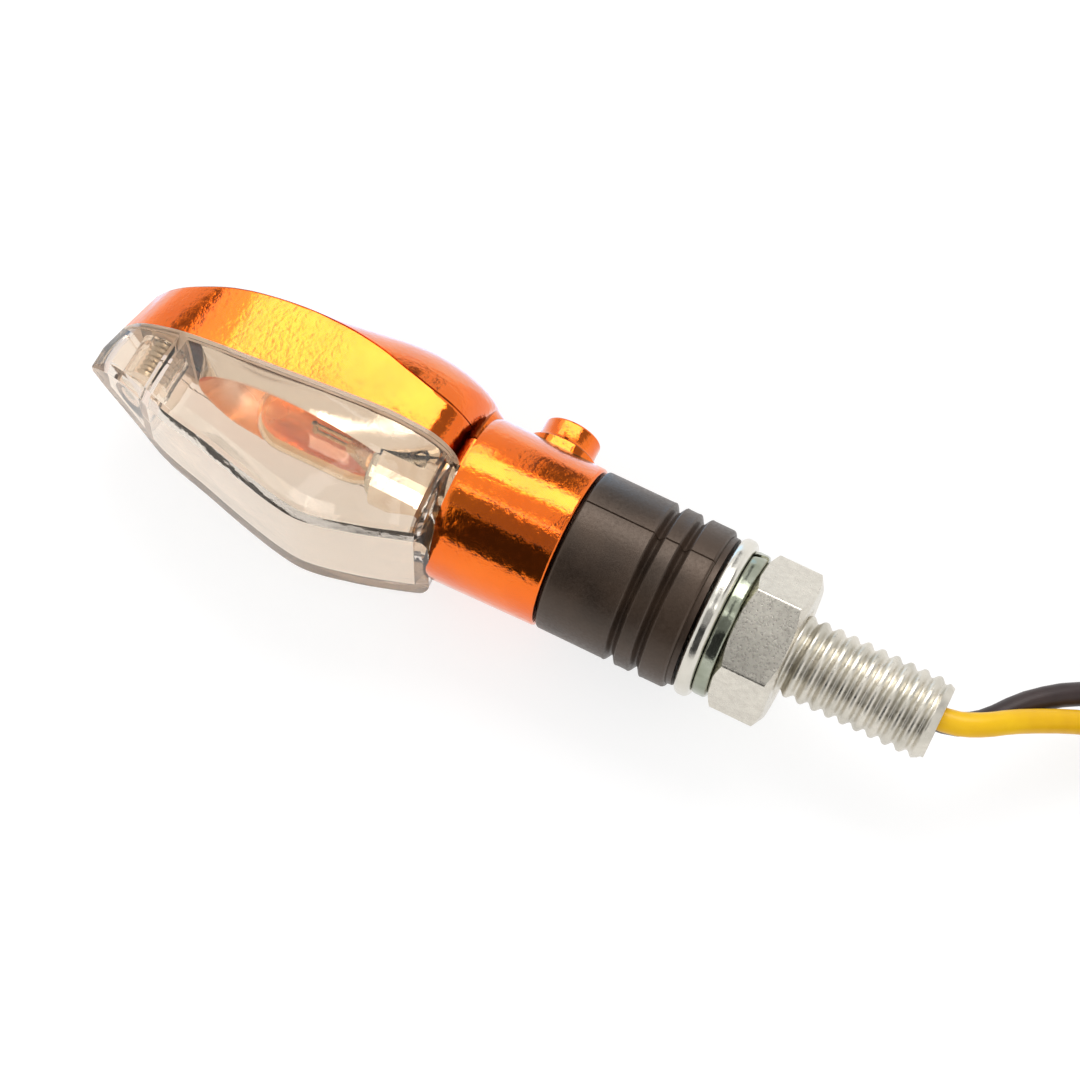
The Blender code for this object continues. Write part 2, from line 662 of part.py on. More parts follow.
def make_bulb_glass(material):
    outer, inner = glass_profile(), glass_profile(BULB_GLASS_WALL)
    return turned("bulb_glass", outer + list(reversed(inner)), material, 20)


def make_bulb_filament(material):
    """The glass mount with its two support wires and the filament bar between them."""
    mouth = cap_mouth_x()
    start = mouth + 2.0 * MM
    mount = turned(
        "bulb_filament",
        [
            (start, 0.0), (start, BULB_STEM_RADIUS), (mouth - 1 * MM, BULB_STEM_RADIUS),
            (mouth - 4 * MM, 1.0 * MM), (mouth - 4 * MM, 0.0),
        ],
        material, 16,
    )
    top = mouth - 9 * MM
    wires = []
    for side, name in ((1, "upper"), (-1, "lower")):
        wires.append(rod(
            "bulb_wire_" + name, 0.25 * MM, top, mouth - 2 * MM, None, 8, (1, 0, 0), (0, 0, side * 0.9 * MM)
        ))
    bar = rod("bulb_filament_bar", 0.3 * MM, -1.3 * MM, 1.3 * MM, None, 10, (0, 0, 1), (top + 0.4 * MM, 0, 0))
    return join(mount, *wires, bar)


def make_contact_plate(material):
    return turned(
        "contact_plate",
        [
            (CONTACT_X, 0.0), (CONTACT_X, CONTACT_RADIUS), (CONTACT_X + CONTACT_THICKNESS, CONTACT_RADIUS),
            (CONTACT_X + CONTACT_THICKNESS, 0.0),
        ],
        material, 32,
    )


def make_contact_spring(material):
    """A short compression spring: a round wire swept along a helix."""
    first = CONTACT_X + CONTACT_THICKNESS + GAP + SPRING_WIRE / 2
    last = INSULATOR_X - GAP - SPRING_WIRE / 2
    steps = int(SPRING_TURNS * 12)
    points = []
    for k in range(steps + 1):
        angle = math.tau * SPRING_TURNS * k / steps
        points.append((
            first + (last - first) * k / steps, SPRING_RADIUS * math.cos(angle), SPRING_RADIUS * math.sin(angle)
        ))
    return tube("contact_spring", points, SPRING_WIRE / 2, material, 1)


def make_insulator_disc(material):
    profile = [
        (INSULATOR_X, 0.0), (INSULATOR_X, COLLAR_BORE - BORE_GAP),
        (INSULATOR_X + INSULATOR_THICKNESS, COLLAR_BORE - BORE_GAP), (INSULATOR_X + INSULATOR_THICKNESS, 0.0),
    ]
    return turned("insulator_disc", profile, material, 40)


# ---------------------------------------------------------------- screws and insert

def make_lens_screw(material):
    seat = lens_screw_seat_y() + GAP
    head = 1.6 * MM
    return turned(
        "lens_screw",
        [
            (lens_screw_end_y(), 0.0), (lens_screw_end_y(), 0.5 * MM),
            (lens_screw_end_y() + 1.4 * MM, LENS_SCREW_RADIUS), (seat, LENS_SCREW_RADIUS),
            (seat, LENS_SCREW_HEAD_RADIUS), (seat + 0.6 * head, LENS_SCREW_HEAD_RADIUS),
            (seat + head, 0.6 * LENS_SCREW_HEAD_RADIUS), (seat + head, 0.0),
        ],
        material, 24, (0, 1, 0), (HEAD_X - LENS_SCREW_AT, 0, 0),
    )


def make_clamp_screw(material):
    seat = clamp_seat_y() + GAP
    point = INSERT_RADIUS + GAP
    screw = turned(
        "clamp_screw",
        [
            (point, 0.0), (point, CLAMP_SCREW_RADIUS - 0.4 * MM), (point + 0.5 * MM, CLAMP_SCREW_RADIUS),
            (seat, CLAMP_SCREW_RADIUS), (seat, CLAMP_HEAD_RADIUS),
            (seat + 0.7 * CLAMP_HEAD_HEIGHT, CLAMP_HEAD_RADIUS),
            (seat + CLAMP_HEAD_HEIGHT, CLAMP_HEAD_RADIUS - 0.5 * MM), (seat + CLAMP_HEAD_HEIGHT, 0.0),
        ],
        material, 28, (0, 1, 0), (BOSS_X, 0, 0),
    )
    slot_half, slot_reach = 0.35 * MM, CLAMP_HEAD_RADIUS - 0.6 * MM
    deep = seat + 0.3 * CLAMP_HEAD_HEIGHT
    top = seat + CLAMP_HEAD_HEIGHT + 1 * MM
    one = block("clamp_screw_slot_x", (BOSS_X - slot_reach, deep, -slot_half), (BOSS_X + slot_reach, top, slot_half))
    two = block("clamp_screw_slot_z", (BOSS_X - slot_half, deep, -slot_reach), (BOSS_X + slot_half, top, slot_reach))
    return cut(screw, one, two)


def insert_x():
    return PLUG_X + GAP + 0.9 * MM


def make_stem_insert(material):
    first, last = insert_x(), insert_x() + INSERT_LENGTH
    inner = INSERT_RADIUS - INSERT_WALL
    return turned(
        "stem_insert",
        [
            (first, inner), (first, INSERT_RADIUS), (last - 0.4 * MM, INSERT_RADIUS),
            (last, INSERT_RADIUS - 0.4 * MM), (last, inner),
        ],
        material, 32,
    )


# ---------------------------------------------------------------- stem, stud and fasteners

def groove(at, radius):
    """Points of a rounded groove across the stem's outline."""
    points = []
    for k in range(5):
        angle = math.pi * k / 4
        points.append((-at - GROOVE_HALF_WIDTH * math.cos(angle), radius - GROOVE_DEPTH * math.sin(angle)))
    return points


def make_rubber_stem(material):
    plug = COLLAR_BORE - BORE_GAP
    shoulder = COLLAR_END_X + GAP
    socket = INSERT_RADIUS + GAP
    insert_end = insert_x() + INSERT_LENGTH + GAP
    flange_low = -FLANGE_COVER - FLANGE_THICKNESS - GAP
    flange_high = -FLANGE_COVER + GAP
    ridge = STEM_END_RADIUS + 0.05 * MM
    outer = [
        (PLUG_X, plug - 0.4 * MM), (PLUG_X + 0.4 * MM, plug), (shoulder, plug),
        (shoulder, STEM_RADIUS - 0.25 * MM), (shoulder + 0.25 * MM, STEM_RADIUS),
        *groove(GROOVE_ONE_AT, ridge), *groove(GROOVE_TWO_AT, ridge),
        (-SEAT_LIP - 0.3 * MM, STEM_END_RADIUS), (-SEAT_LIP, STEM_END_RADIUS - 0.3 * MM),
        (-SEAT_LIP, STEM_END_RADIUS - SEAT_LIP_STEP), (0.0, STEM_END_RADIUS - SEAT_LIP_STEP),
    ]
    inner = [
        (0.0, STUD_RADIUS + BORE_GAP), (flange_high, STUD_RADIUS + BORE_GAP),
        (flange_high, FLANGE_RADIUS + GAP), (flange_low, FLANGE_RADIUS + GAP), (flange_low, CORE_RADIUS),
        (insert_end, CORE_RADIUS), (insert_end, socket), (PLUG_X, socket),
    ]
    stem = turned("rubber_stem", outer + inner, material, 32)
    hole = rod(
        "rubber_clamp_hole", CLAMP_SCREW_RADIUS + BORE_GAP, INSERT_RADIUS - 0.5 * MM, COLLAR_RADIUS,
        None, 24, (0, 1, 0), (BOSS_X, 0, 0),
    )
    return cut(stem, hole)


def make_stud(material):
    low = -FLANGE_COVER - FLANGE_THICKNESS
    return turned(
        "stud",
        [
            (low, STUD_BORE_RADIUS), (low, FLANGE_RADIUS - 0.3 * MM), (low + 0.3 * MM, FLANGE_RADIUS),
            (-FLANGE_COVER - 0.3 * MM, FLANGE_RADIUS), (-FLANGE_COVER, FLANGE_RADIUS - 0.3 * MM),
            (-FLANGE_COVER, STUD_RADIUS), (STUD_LENGTH - STUD_END_CHAMFER, STUD_RADIUS),
            (STUD_LENGTH, STUD_RADIUS - STUD_END_CHAMFER), (STUD_LENGTH, STUD_BORE_RADIUS + 0.2 * MM),
            (STUD_LENGTH - 0.2 * MM, STUD_BORE_RADIUS),
        ],
        material, 36,
    )


def make_flat_washer(material):
    low, high = WASHER_X, WASHER_X + WASHER_THICKNESS
    inner, round_edge = STUD_RADIUS + BORE_GAP, 0.7 * MM
    profile = [(low, inner), (low, WASHER_RADIUS - round_edge)]
    for k in range(1, 3):
        angle = math.radians(90 * k / 2)
        profile.append((
            low + round_edge * (1 - math.cos(angle)), WASHER_RADIUS - round_edge * (1 - math.sin(angle))
        ))
    for k in range(3):
        angle = math.radians(90 * k / 2)
        profile.append((
            high - round_edge * (1 - math.sin(angle)), WASHER_RADIUS - round_edge * (1 - math.cos(angle))
        ))
    profile.append((high, inner))
    return turned("flat_washer", profile, material, 36)


def make_spring_washer(material):
    """A split ring of square wire, with its ends cut on the slant."""
    low, high = LOCK_WASHER_X, LOCK_WASHER_X + LOCK_WASHER_THICKNESS
    inner, soft = STUD_RADIUS + BORE_GAP, 0.35 * MM
    outer = LOCK_WASHER_RADIUS
    washer = turned(
        "spring_washer",
        [
            (low, inner), (low, outer - soft), (low + soft, outer), (high - soft, outer), (high, outer - soft),
            (high, inner),
        ],
        material, 48,
    )
    slot = block(
        "spring_washer_split", (-3 * MM, -LOCK_WASHER_SLOT / 2, inner - 1.5 * MM),
        (3 * MM, LOCK_WASHER_SLOT / 2, outer + 1 * MM),
    )
    slot.matrix_world = (
        Matrix.Rotation(math.radians(-50), 4, "X")
        @ Matrix.Translation(((low + high) / 2, 0, 0)) @ Matrix.Rotation(math.radians(35), 4, "Z")
    )
    return cut(washer, slot)


def make_hex_nut(material):
    """A hexagonal bar, with both ends turned down to a cone."""
    low, high = NUT_X, NUT_X + NUT_HEIGHT
    corner = NUT_ACROSS_FLATS / math.sqrt(3)
    flat = NUT_ACROSS_FLATS / 2
    bm = bmesh.new()
    ring = []
    for k in range(6):
        angle = math.radians(60 * k + NUT_TURN)
        ring.append(bm.verts.new((low, corner * math.cos(angle), corner * math.sin(angle))))
    made = bmesh.ops.extrude_face_region(bm, geom=[bm.faces.new(ring)])
    moved = [v for v in made["geom"] if isinstance(v, bmesh.types.BMVert)]
    bmesh.ops.translate(bm, verts=moved, vec=(NUT_HEIGHT, 0, 0))
    nut = add_object("hex_nut", mesh_from(bm, "hex_nut"), material)
    widest = flat + NUT_HEIGHT / 2 / math.tan(math.radians(NUT_CHAMFER_ANGLE))
    cone = turned(
        "hex_nut_cones",
        [(low, 0.0), (low, flat), ((low + high) / 2, widest), (high, flat), (high, 0.0)],
        None, 48,
    )
    combine(nut, [cone], "INTERSECT")
    thread = rod("hex_nut_bore", STUD_RADIUS + BORE_GAP, low - 1 * MM, high + 1 * MM, None, 36)
    return cut(nut, thread)


# ---------------------------------------------------------------- leads

def smooth_path(points, spacing):
    """Points about spacing apart on one smooth curve through the route's own points."""
    knots = [Vector(p) for p in points]
    ends = [2 * knots[0] - knots[1], *knots, 2 * knots[-1] - knots[-2]]
    fine = []
    for a, b, c, d in zip(ends, ends[1:], ends[2:], ends[3:]):
        count = max(1, round((c - b).length / spacing))
        for k in range(count):
            s = k / count
            fine.append(
                0.5 * (2 * b + (c - a) * s + (2 * a - 5 * b + 4 * c - d) * s**2 + (3 * b - a - 3 * c + d) * s**3)
            )
    return [*fine, knots[-1]]


def tube(name, points, radius, material, resolution=2):
    curve = bpy.data.curves.new(name, "CURVE")
    curve.dimensions = "3D"
    curve.bevel_depth = radius
    curve.bevel_resolution = resolution
    curve.use_fill_caps = True
    curve.resolution_u = 1
    curve.render_resolution_u = 0
    spline = curve.splines.new("POLY")
    spline.points.add(len(points) - 1)
    for point, place in zip(spline.points, points):
        point.co = (*place, 1.0)
    curve.materials.append(material)
    made = bpy.data.objects.new(name, curve)
    bpy.context.scene.collection.objects.link(made)
    return made


# Routes in millimetres: out of the stud, down to the surface and on to the coil.
YELLOW_ROUTE = (
    (1.0, 0.0, 1.6), (14.0, 0.0, 1.6), (24.0, -0.1, 1.6), (30.2, 0.0, 1.6), (34.2, 1.6, 1.1),
    (38.0, 4.8, -0.8), (44.0, 9.1, -4.0), (50.0, 12.3, -7.3), (56.5, 14.3, -9.7), (62.5, 15.0, -10.2),
)
BLACK_ROUTE = (
    (1.0, 0.0, -1.6), (14.0, 0.2, -1.55), (24.0, 0.7, -1.4), (30.2, 1.0, -1.4), (34.2, 3.4, -2.3),
    (38.0, 8.4, -3.3), (43.0, 12.9, -5.0), (50.0, 16.6, -8.0), (57.0, 18.3, -9.9), (65.2, 18.3, -10.2),
)


def in_metres(route):
    return [tuple(v * MM for v in point) for point in route]


def coil_low():
    return FLOOR_Z + TIE_THICKNESS + GAP


def coil_high():
    return coil_low() + (COIL_TURNS + 1) * 2 * LEAD_RADIUS


def make_leads(yellow, black, nylon, brass):
    spacing = 5 * LEAD_RADIUS
    for name, route, colour in (("lead_yellow", YELLOW_ROUTE, yellow), ("lead_black", BLACK_ROUTE, black)):
        tube(name, smooth_path(in_metres(route), spacing), LEAD_RADIUS, colour)

    centre = (COIL_CENTRE_X, COIL_CENTRE_Y, 0)
    inner, outer = COIL_INNER_TURN - LEAD_RADIUS, COIL_OUTER_TURN + LEAD_RADIUS
    low, high, soft = coil_low(), coil_high(), 0.6 * LEAD_RADIUS
    turned(
        "lead_coil",
        [
            (low, inner + soft), (low, outer - soft), (low + soft, outer), (high - soft, outer),
            (high, outer - soft), (high, inner + soft), (high - soft, inner), (low + soft, inner),
        ],
        black, 36, (0, 0, 1), centre,
    )
    tie_x = COIL_CENTRE_X + (inner + outer) / 2
    room_x = (outer - inner) / 2 + GAP
    thick = TIE_THICKNESS
    tie = block(
        "coil_tie",
        (tie_x - room_x - thick, COIL_CENTRE_Y - TIE_WIDTH / 2, FLOOR_Z),
        (tie_x + room_x + thick + 0.6 * MM, COIL_CENTRE_Y + TIE_WIDTH / 2, high + GAP + thick), nylon,
    )
    window = block(
        "coil_tie_window",
        (tie_x - room_x, COIL_CENTRE_Y - TIE_WIDTH, FLOOR_Z + thick),
        (tie_x + room_x + 0.6 * MM, COIL_CENTRE_Y + TIE_WIDTH, high + GAP),
    )
    cut(tie, window)

    top = high - LEAD_RADIUS
    bullet_z = FLOOR_Z + BULLET_RADIUS
    for name, turn, colour in (("yellow", COIL_INNER_TURN, yellow), ("black", COIL_OUTER_TURN, black)):
        side_y = COIL_CENTRE_Y + turn
        clear_of_coil = math.sqrt((outer + TAIL_GAP) ** 2 - (turn - LEAD_RADIUS) ** 2)
        first_x = COIL_CENTRE_X + clear_of_coil
        spread = 1.6 * MM if name == "black" else -0.4 * MM
        last_x = COIL_CENTRE_X + TAIL_REACH
        fall = (top - bullet_z) / 2
        route = [
            (first_x, side_y, top - 0.4 * MM), ((first_x + last_x) / 2, side_y + spread / 2, bullet_z + fall),
            (last_x - 3 * MM, side_y + spread, bullet_z + 0.3 * MM), (last_x, side_y + spread, bullet_z),
        ]
        tube("tail_" + name, smooth_path(route, spacing), LEAD_RADIUS, colour)
        barrel, neck = 0.95 * BULLET_RADIUS, 0.65 * BULLET_RADIUS
        start = last_x + GAP
        turned(
            "bullet_" + name,
            [
                (0.0, 0.0), (0.0, barrel), (0.45 * BULLET_LENGTH, barrel), (0.48 * BULLET_LENGTH, neck),
                (0.58 * BULLET_LENGTH, neck), (0.62 * BULLET_LENGTH, BULLET_RADIUS),
                (0.88 * BULLET_LENGTH, BULLET_RADIUS), (0.96 * BULLET_LENGTH, 0.7 * BULLET_RADIUS),
                (BULLET_LENGTH, 0.3 * BULLET_RADIUS), (BULLET_LENGTH, 0.0),
            ],
            brass, 16, (1, 0, 0), (start, side_y + spread, bullet_z),
        )


def make_inner_leads(yellow, black):
    first = INSULATOR_X + INSULATOR_THICKNESS + GAP
    last = 1.0 * MM - GAP
    for name, side, colour in (("inner_lead_yellow", 1, yellow), ("inner_lead_black", -1, black)):
        high = side * LEAD_SPREAD
        route = [(first + (last - first) * k / 5, 0.0, high) for k in range(6)]
        tube(name, route, LEAD_RADIUS, colour)


# ---------------------------------------------------------------- the assembly

def pivot(name, place):
    """An empty on a joint's axis, to which the moving piece is parented."""
    made = bpy.data.objects.new(name, None)
    made.empty_display_size = 4 * MM
    made.location = place
    bpy.context.scene.collection.objects.link(made)
    return made


def hang(parent, *pieces):
    """Parents pieces to a pivot without moving them."""
    for piece in pieces:
        piece.parent = parent
        piece.matrix_parent_inverse = Matrix.Translation(-parent.location)


def build():
    clear_scene()
    chrome = finish("orange_chrome", (0.95, 0.30, 0.03), 0.12, 1.0)
    clear = finish("clear_lens", (0.93, 0.90, 0.86), 0.05, 0.0, 0.35)
    silver = finish("reflector_plate", (0.86, 0.86, 0.86), 0.08, 1.0)
    amber = finish("amber_glass", (0.95, 0.42, 0.05), 0.05, 0.0, 0.6)
    rubber = finish("rubber", (0.055, 0.042, 0.036), 0.55, 0.0)
    zinc = finish("zinc_plate", (0.78, 0.77, 0.72), 0.28, 1.0)
    steel = finish("steel_wire", (0.62, 0.62, 0.62), 0.3, 1.0)
    brass = finish("brass", (0.80, 0.62, 0.30), 0.3, 1.0)
    nickel = finish("nickelled_brass", (0.72, 0.70, 0.66), 0.25, 1.0)
    seal = finish("seal_rubber", (0.05, 0.05, 0.05), 0.7, 0.0)
    board = finish("insulating_board", (0.35, 0.20, 0.10), 0.6, 0.0)
    yellow = finish("yellow_sheath", (0.90, 0.62, 0.01), 0.35, 0.0)
    black = finish("black_sheath", (0.07, 0.05, 0.045), 0.4, 0.0)
    nylon = finish("nylon", (0.80, 0.80, 0.76), 0.4, 0.0)

    stem_pivot = pivot("stem_pivot", (-0.35 * STEM_LENGTH, 0, 0))
    head_pivot = pivot("head_pivot", (-0.70 * STEM_LENGTH, 0, 0))
    nut_pivot = pivot("nut_pivot", (NUT_X, 0, 0))

    hang(
        head_pivot,
        make_housing(chrome),
        make_lens(clear),
        make_lens_seal(seal),
        make_reflector(silver),
        make_bulb_glass(amber),
        make_bulb_filament(steel),
        make_bulb_cap(nickel),
        make_bulb_socket(zinc),
        make_contact_plate(brass),
        make_contact_spring(steel),
        make_insulator_disc(board),
        make_lens_screw(zinc),
        make_clamp_screw(zinc),
        make_stem_insert(zinc),
    )
    hang(stem_pivot, make_rubber_stem(rubber))
    make_stud(zinc)
    make_flat_washer(zinc)
    make_spring_washer(zinc)
    hang(nut_pivot, make_hex_nut(zinc))
    make_inner_leads(yellow, black)
    make_leads(yellow, black, nylon, brass)


build()
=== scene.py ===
# %% [markdown]
# # Motorcycle turn signal, dressed for a studio render
#
# The CAD frame gives every piece that carries or moves. This script adds the looks: the plated head as a
# smooth skin, the clear lens with its real wall, the rubber stem with its grooves and mould line, the cut
# thread, the washers and the two leads at their full length. Everything is in metres and in the CAD frame:
# +X runs along the stud, the lens faces -Y, +Z is up.

import json
import math

import bmesh
import bpy
from mathutils import Matrix, Vector


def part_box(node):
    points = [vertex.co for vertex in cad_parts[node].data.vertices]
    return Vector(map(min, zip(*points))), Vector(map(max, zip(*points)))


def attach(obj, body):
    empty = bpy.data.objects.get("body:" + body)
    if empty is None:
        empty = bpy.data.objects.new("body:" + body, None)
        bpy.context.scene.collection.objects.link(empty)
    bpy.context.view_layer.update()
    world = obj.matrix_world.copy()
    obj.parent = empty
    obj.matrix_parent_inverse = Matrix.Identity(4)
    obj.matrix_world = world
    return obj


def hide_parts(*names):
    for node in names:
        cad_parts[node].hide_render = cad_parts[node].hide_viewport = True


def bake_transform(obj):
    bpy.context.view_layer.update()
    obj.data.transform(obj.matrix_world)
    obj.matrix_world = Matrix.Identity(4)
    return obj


MM = 0.001
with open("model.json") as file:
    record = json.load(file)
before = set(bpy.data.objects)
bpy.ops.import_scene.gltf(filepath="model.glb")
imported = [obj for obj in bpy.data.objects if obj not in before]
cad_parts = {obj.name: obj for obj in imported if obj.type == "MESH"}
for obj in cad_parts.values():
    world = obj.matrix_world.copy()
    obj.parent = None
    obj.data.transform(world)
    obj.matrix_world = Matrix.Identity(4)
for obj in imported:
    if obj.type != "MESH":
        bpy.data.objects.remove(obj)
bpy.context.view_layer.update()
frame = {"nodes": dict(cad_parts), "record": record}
nodes = frame["nodes"]

# %% [markdown]
# ## Sizes read from the frame
#
# A skin has to sit where its solid is. The places could be typed in, but when they are read from the solids
# they follow any change of the CAD model. Only sizes that no box tells are written as numbers.

# %% Sizes
FLOOR_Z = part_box("coil_tie")[0].z
STUD_START_X, STUD_END_X = (corner.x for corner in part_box("stud"))
STUD_RADIUS = 5.0 * MM
STUD_BORE_RADIUS = 3.2 * MM
TIP_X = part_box("lens")[0].x
HEAD_HALF_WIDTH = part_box("lens")[1].z
COLLAR_END_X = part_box("housing")[1].x
COLLAR_LENGTH = 13.3 * MM
HEAD_X = COLLAR_END_X - COLLAR_LENGTH
HEAD_LENGTH = HEAD_X - TIP_X
COLLAR_RADIUS = 10.45 * MM
COLLAR_END_RADIUS = 10.15 * MM
GAP = 0.3 * MM
print("head length {:.1f} mm, half width {:.1f} mm".format(HEAD_LENGTH / MM, HEAD_HALF_WIDTH / MM))

# %% [markdown]
# ## Camera
#
# A small product is seen best through a long lens from some way off, which draws its near and far ends
# alike. The lens could be picked by eye. Worked out from the distance and from the width to be seen, it
# stays right when either changes. The camera looks down from above and in front of the lens, and is rolled
# a little.

# %% Camera
VIEW_TARGET = Vector((-21.4, -0.75, 0.0)) * MM
VIEW_FROM = Vector((0.156, -0.358, 0.918)).normalized()
VIEW_DISTANCE = 0.340
VIEW_WIDTH = 127.358491 * MM
SENSOR_WIDTH = 36.0
ROLL = math.radians(3.6)


def put(name, data):
    """An object in the scene that shows the data."""
    made = bpy.data.objects.new(name, data)
    bpy.context.scene.collection.objects.link(made)
    return made


def aim(place, target, roll=0.0):
    """A transform at place that looks at target, rolled about the line of sight."""
    turn = (target - place).to_track_quat("-Z", "Y").to_matrix() @ Matrix.Rotation(roll, 3, "Z")
    return Matrix.Translation(place) @ turn.to_4x4()


optics = bpy.data.cameras.new("camera")
optics.sensor_width = SENSOR_WIDTH
optics.lens = SENSOR_WIDTH * VIEW_DISTANCE / VIEW_WIDTH
optics.clip_start = 0.01
camera = put("camera", optics)
camera.matrix_world = aim(VIEW_TARGET + VIEW_FROM * VIEW_DISTANCE, VIEW_TARGET, ROLL)
bpy.context.scene.camera = camera
print("camera lens {:.0f} mm".format(optics.lens))

# %% [markdown]
# ## Material helpers
#
# No real surface has one even colour or gloss: mouldings are cloudy and plating is grained. Painted
# textures would need unwrapping. So each finish is a Principled shader that takes its pattern from one
# shared group of noise in object coordinates, which fits any mesh. Its constants stay on the shader, where
# they are easy to find.

# %% Material helpers
def rgba(value):
    return (*value, 1.0) if isinstance(value, tuple) else value


def new_material(name, **values):
    """A Principled material. Values are socket names with underscores for spaces."""
    made = bpy.data.materials.new(name)
    made.use_nodes = True
    shader = made.node_tree.nodes["Principled BSDF"]
    for key, value in values.items():
        shader.inputs[key.replace("_", " ")].default_value = rgba(value)
    return made, made.node_tree, shader


def add(tree, kind, inputs=None, **settings):
    """A node with its settings, and its inputs set to values or linked to sockets."""
    node = tree.nodes.new(kind)
    for key, value in settings.items():
        setattr(node, key, value)
    for key, value in (inputs or {}).items():
        if isinstance(value, bpy.types.NodeSocket):
            tree.links.new(value, node.inputs[key])
        else:
            node.inputs[key].default_value = value
    return node


def mapped(tree, value, from_low, from_high, to_low=0.0, to_high=1.0):
    """A clamped linear change of range."""
    return add(tree, "ShaderNodeMapRange", {
        "Value": value, "From Min": from_low, "From Max": from_high, "To Min": to_low, "To Max": to_high,
    }).outputs["Result"]


def mixed(tree, factor, first, second):
    """A colour between two, each a value or a socket."""
    inputs = {0: factor, 6: rgba(first), 7: rgba(second)}
    return add(tree, "ShaderNodeMix", inputs, data_type="RGBA").outputs[2]


print("helpers for materials are ready")

# %% Shared grain
def make_grain():
    """Fine noise at one size: a height, and a soft mask of broad patches."""
    tree = bpy.data.node_groups.new("fine_grain", "ShaderNodeTree")
    for label, side, default in (
        ("Grains per metre", "INPUT", 2000.0), ("Patches per metre", "INPUT", 150.0),
        ("Height", "OUTPUT", 0.0), ("Patches", "OUTPUT", 0.0),
    ):
        socket = tree.interface.new_socket(label, in_out=side, socket_type="NodeSocketFloat")
        socket.default_value = default
    start, end = tree.nodes.new("NodeGroupInput"), tree.nodes.new("NodeGroupOutput")
    place = add(tree, "ShaderNodeTexCoord").outputs["Object"]
    fine, broad = (
        add(tree, "ShaderNodeTexNoise", {"Vector": place, "Scale": scale, "Detail": detail}).outputs["Fac"]
        for scale, detail in ((start.outputs[0], 3.0), (start.outputs[1], 4.0))
    )
    tree.links.new(fine, end.inputs["Height"])
    tree.links.new(mapped(tree, broad, 0.38, 0.66), end.inputs["Patches"])
    return tree


GRAIN = make_grain()


def finish(name, tints=None, grains=1800.0, patches=200.0, relief=(0.00005, 0.4), gloss=None, **values):
    """Two tints in cloudy patches, a grain between two values of gloss, and a bump of (depth, strength)."""
    made, tree, shader = new_material(name, **values)
    sizes = {"Grains per metre": grains, "Patches per metre": patches}
    grain = add(tree, "ShaderNodeGroup", sizes, node_tree=GRAIN, name="grain").outputs
    if tints:
        tree.links.new(mixed(tree, grain["Patches"], *tints), shader.inputs["Base Color"])
    if gloss:
        tree.links.new(mapped(tree, grain["Height"], 0.3, 0.7, *gloss), shader.inputs["Roughness"])
    depth, strength = relief
    bump = add(tree, "ShaderNodeBump", {"Height": grain["Height"], "Distance": depth, "Strength": strength})
    tree.links.new(bump.outputs["Normal"], shader.inputs["Normal"])
    return made


print("shared groups:", [made.name for made in bpy.data.node_groups])

# %% [markdown]
# ## Leads
#
# Two stranded wires in vinyl sheaths leave the stud. A lead could be a swept mesh, but a curve with a round
# bevel keeps its exact length and is easily led elsewhere. It runs out of the stud, down to the surface,
# through three turns of a coil and along a short tail to its bullet. The route's points repeat those of the
# solids.

# %% Lead routes
LEAD_RADIUS = 1.45 * MM
COIL_CENTRE = Vector((76.0, 2.0, 0.0)) * MM
COIL_TURNS = 3
COIL_STEPS = 32
CLIMB_SHARE = 0.85
YELLOW_ROUTE = (
    (22.0, -0.1, 1.6), (30.2, 0.0, 1.6), (34.2, 1.6, 1.1),
    (38.0, 4.8, -0.8), (44.0, 9.1, -4.0), (50.0, 12.3, -7.3), (56.5, 14.3, -9.7), (62.5, 15.0, -10.2),
)
BLACK_ROUTE = (
    (22.0, 0.6, -1.45), (30.2, 1.0, -1.4), (34.2, 3.4, -2.3),
    (38.0, 8.4, -3.3), (43.0, 12.9, -5.0), (50.0, 16.6, -8.0), (57.0, 18.3, -9.9), (65.2, 18.3, -10.2),
)


def coil_points(turn_radius):
    """Turns that climb by a lead's diameter each, starting and ending at +Y and running towards +X."""
    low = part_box("lead_coil")[0].z + LEAD_RADIUS
    points = []
    for k in range(COIL_TURNS * COIL_STEPS + 1):
        turn, share = divmod(k / COIL_STEPS, 1.0)
        angle = math.pi / 2 - math.tau * share
        points.append((
            COIL_CENTRE.x + turn_radius * math.cos(angle), COIL_CENTRE.y + turn_radius * math.sin(angle),
            low + (turn + min(1.0, share / CLIMB_SHARE)) * 2 * LEAD_RADIUS,
        ))
    return points


def lead_path(route, turn_radius, bullet):
    """The route, the coil and the tail down to the bullet's near end."""
    low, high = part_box(bullet)
    end = Vector((low.x, (low.y + high.y) / 2, (low.z + high.z) / 2))
    coil = coil_points(turn_radius)
    _, coil_y, top = coil[-1]
    tail = [
        (COIL_CENTRE.x + 10 * MM, end.y * 0.5 + coil_y * 0.5, top - 0.4 * MM),
        (COIL_CENTRE.x + 19 * MM, end.y * 0.8 + coil_y * 0.2, (top + end.z) / 2),
        (end.x - 3 * MM, end.y, end.z + 0.4 * MM), (end.x + 1 * MM, end.y, end.z),
    ]
    return [*(Vector(p) * MM for p in route), *(Vector(p) for p in coil[1:]), *(Vector(p) for p in tail)]


def smooth_path(knots, per_gap):
    """Catmull-Rom points through the knots."""
    ends = [2 * knots[0] - knots[1], *knots, 2 * knots[-1] - knots[-2]]
    fine = []
    for a, b, c, d in zip(ends, ends[1:], ends[2:], ends[3:]):
        for s in (k / per_gap for k in range(per_gap)):
            fine.append(0.5 * (
                2 * b + (c - a) * s + (2 * a - 5 * b + 4 * c - d) * s**2 + (3 * b - a - 3 * c + d) * s**3
            ))
    return [*fine, knots[-1]]


print("coil: {} turns about x {:.0f} mm".format(COIL_TURNS, COIL_CENTRE.x / MM))

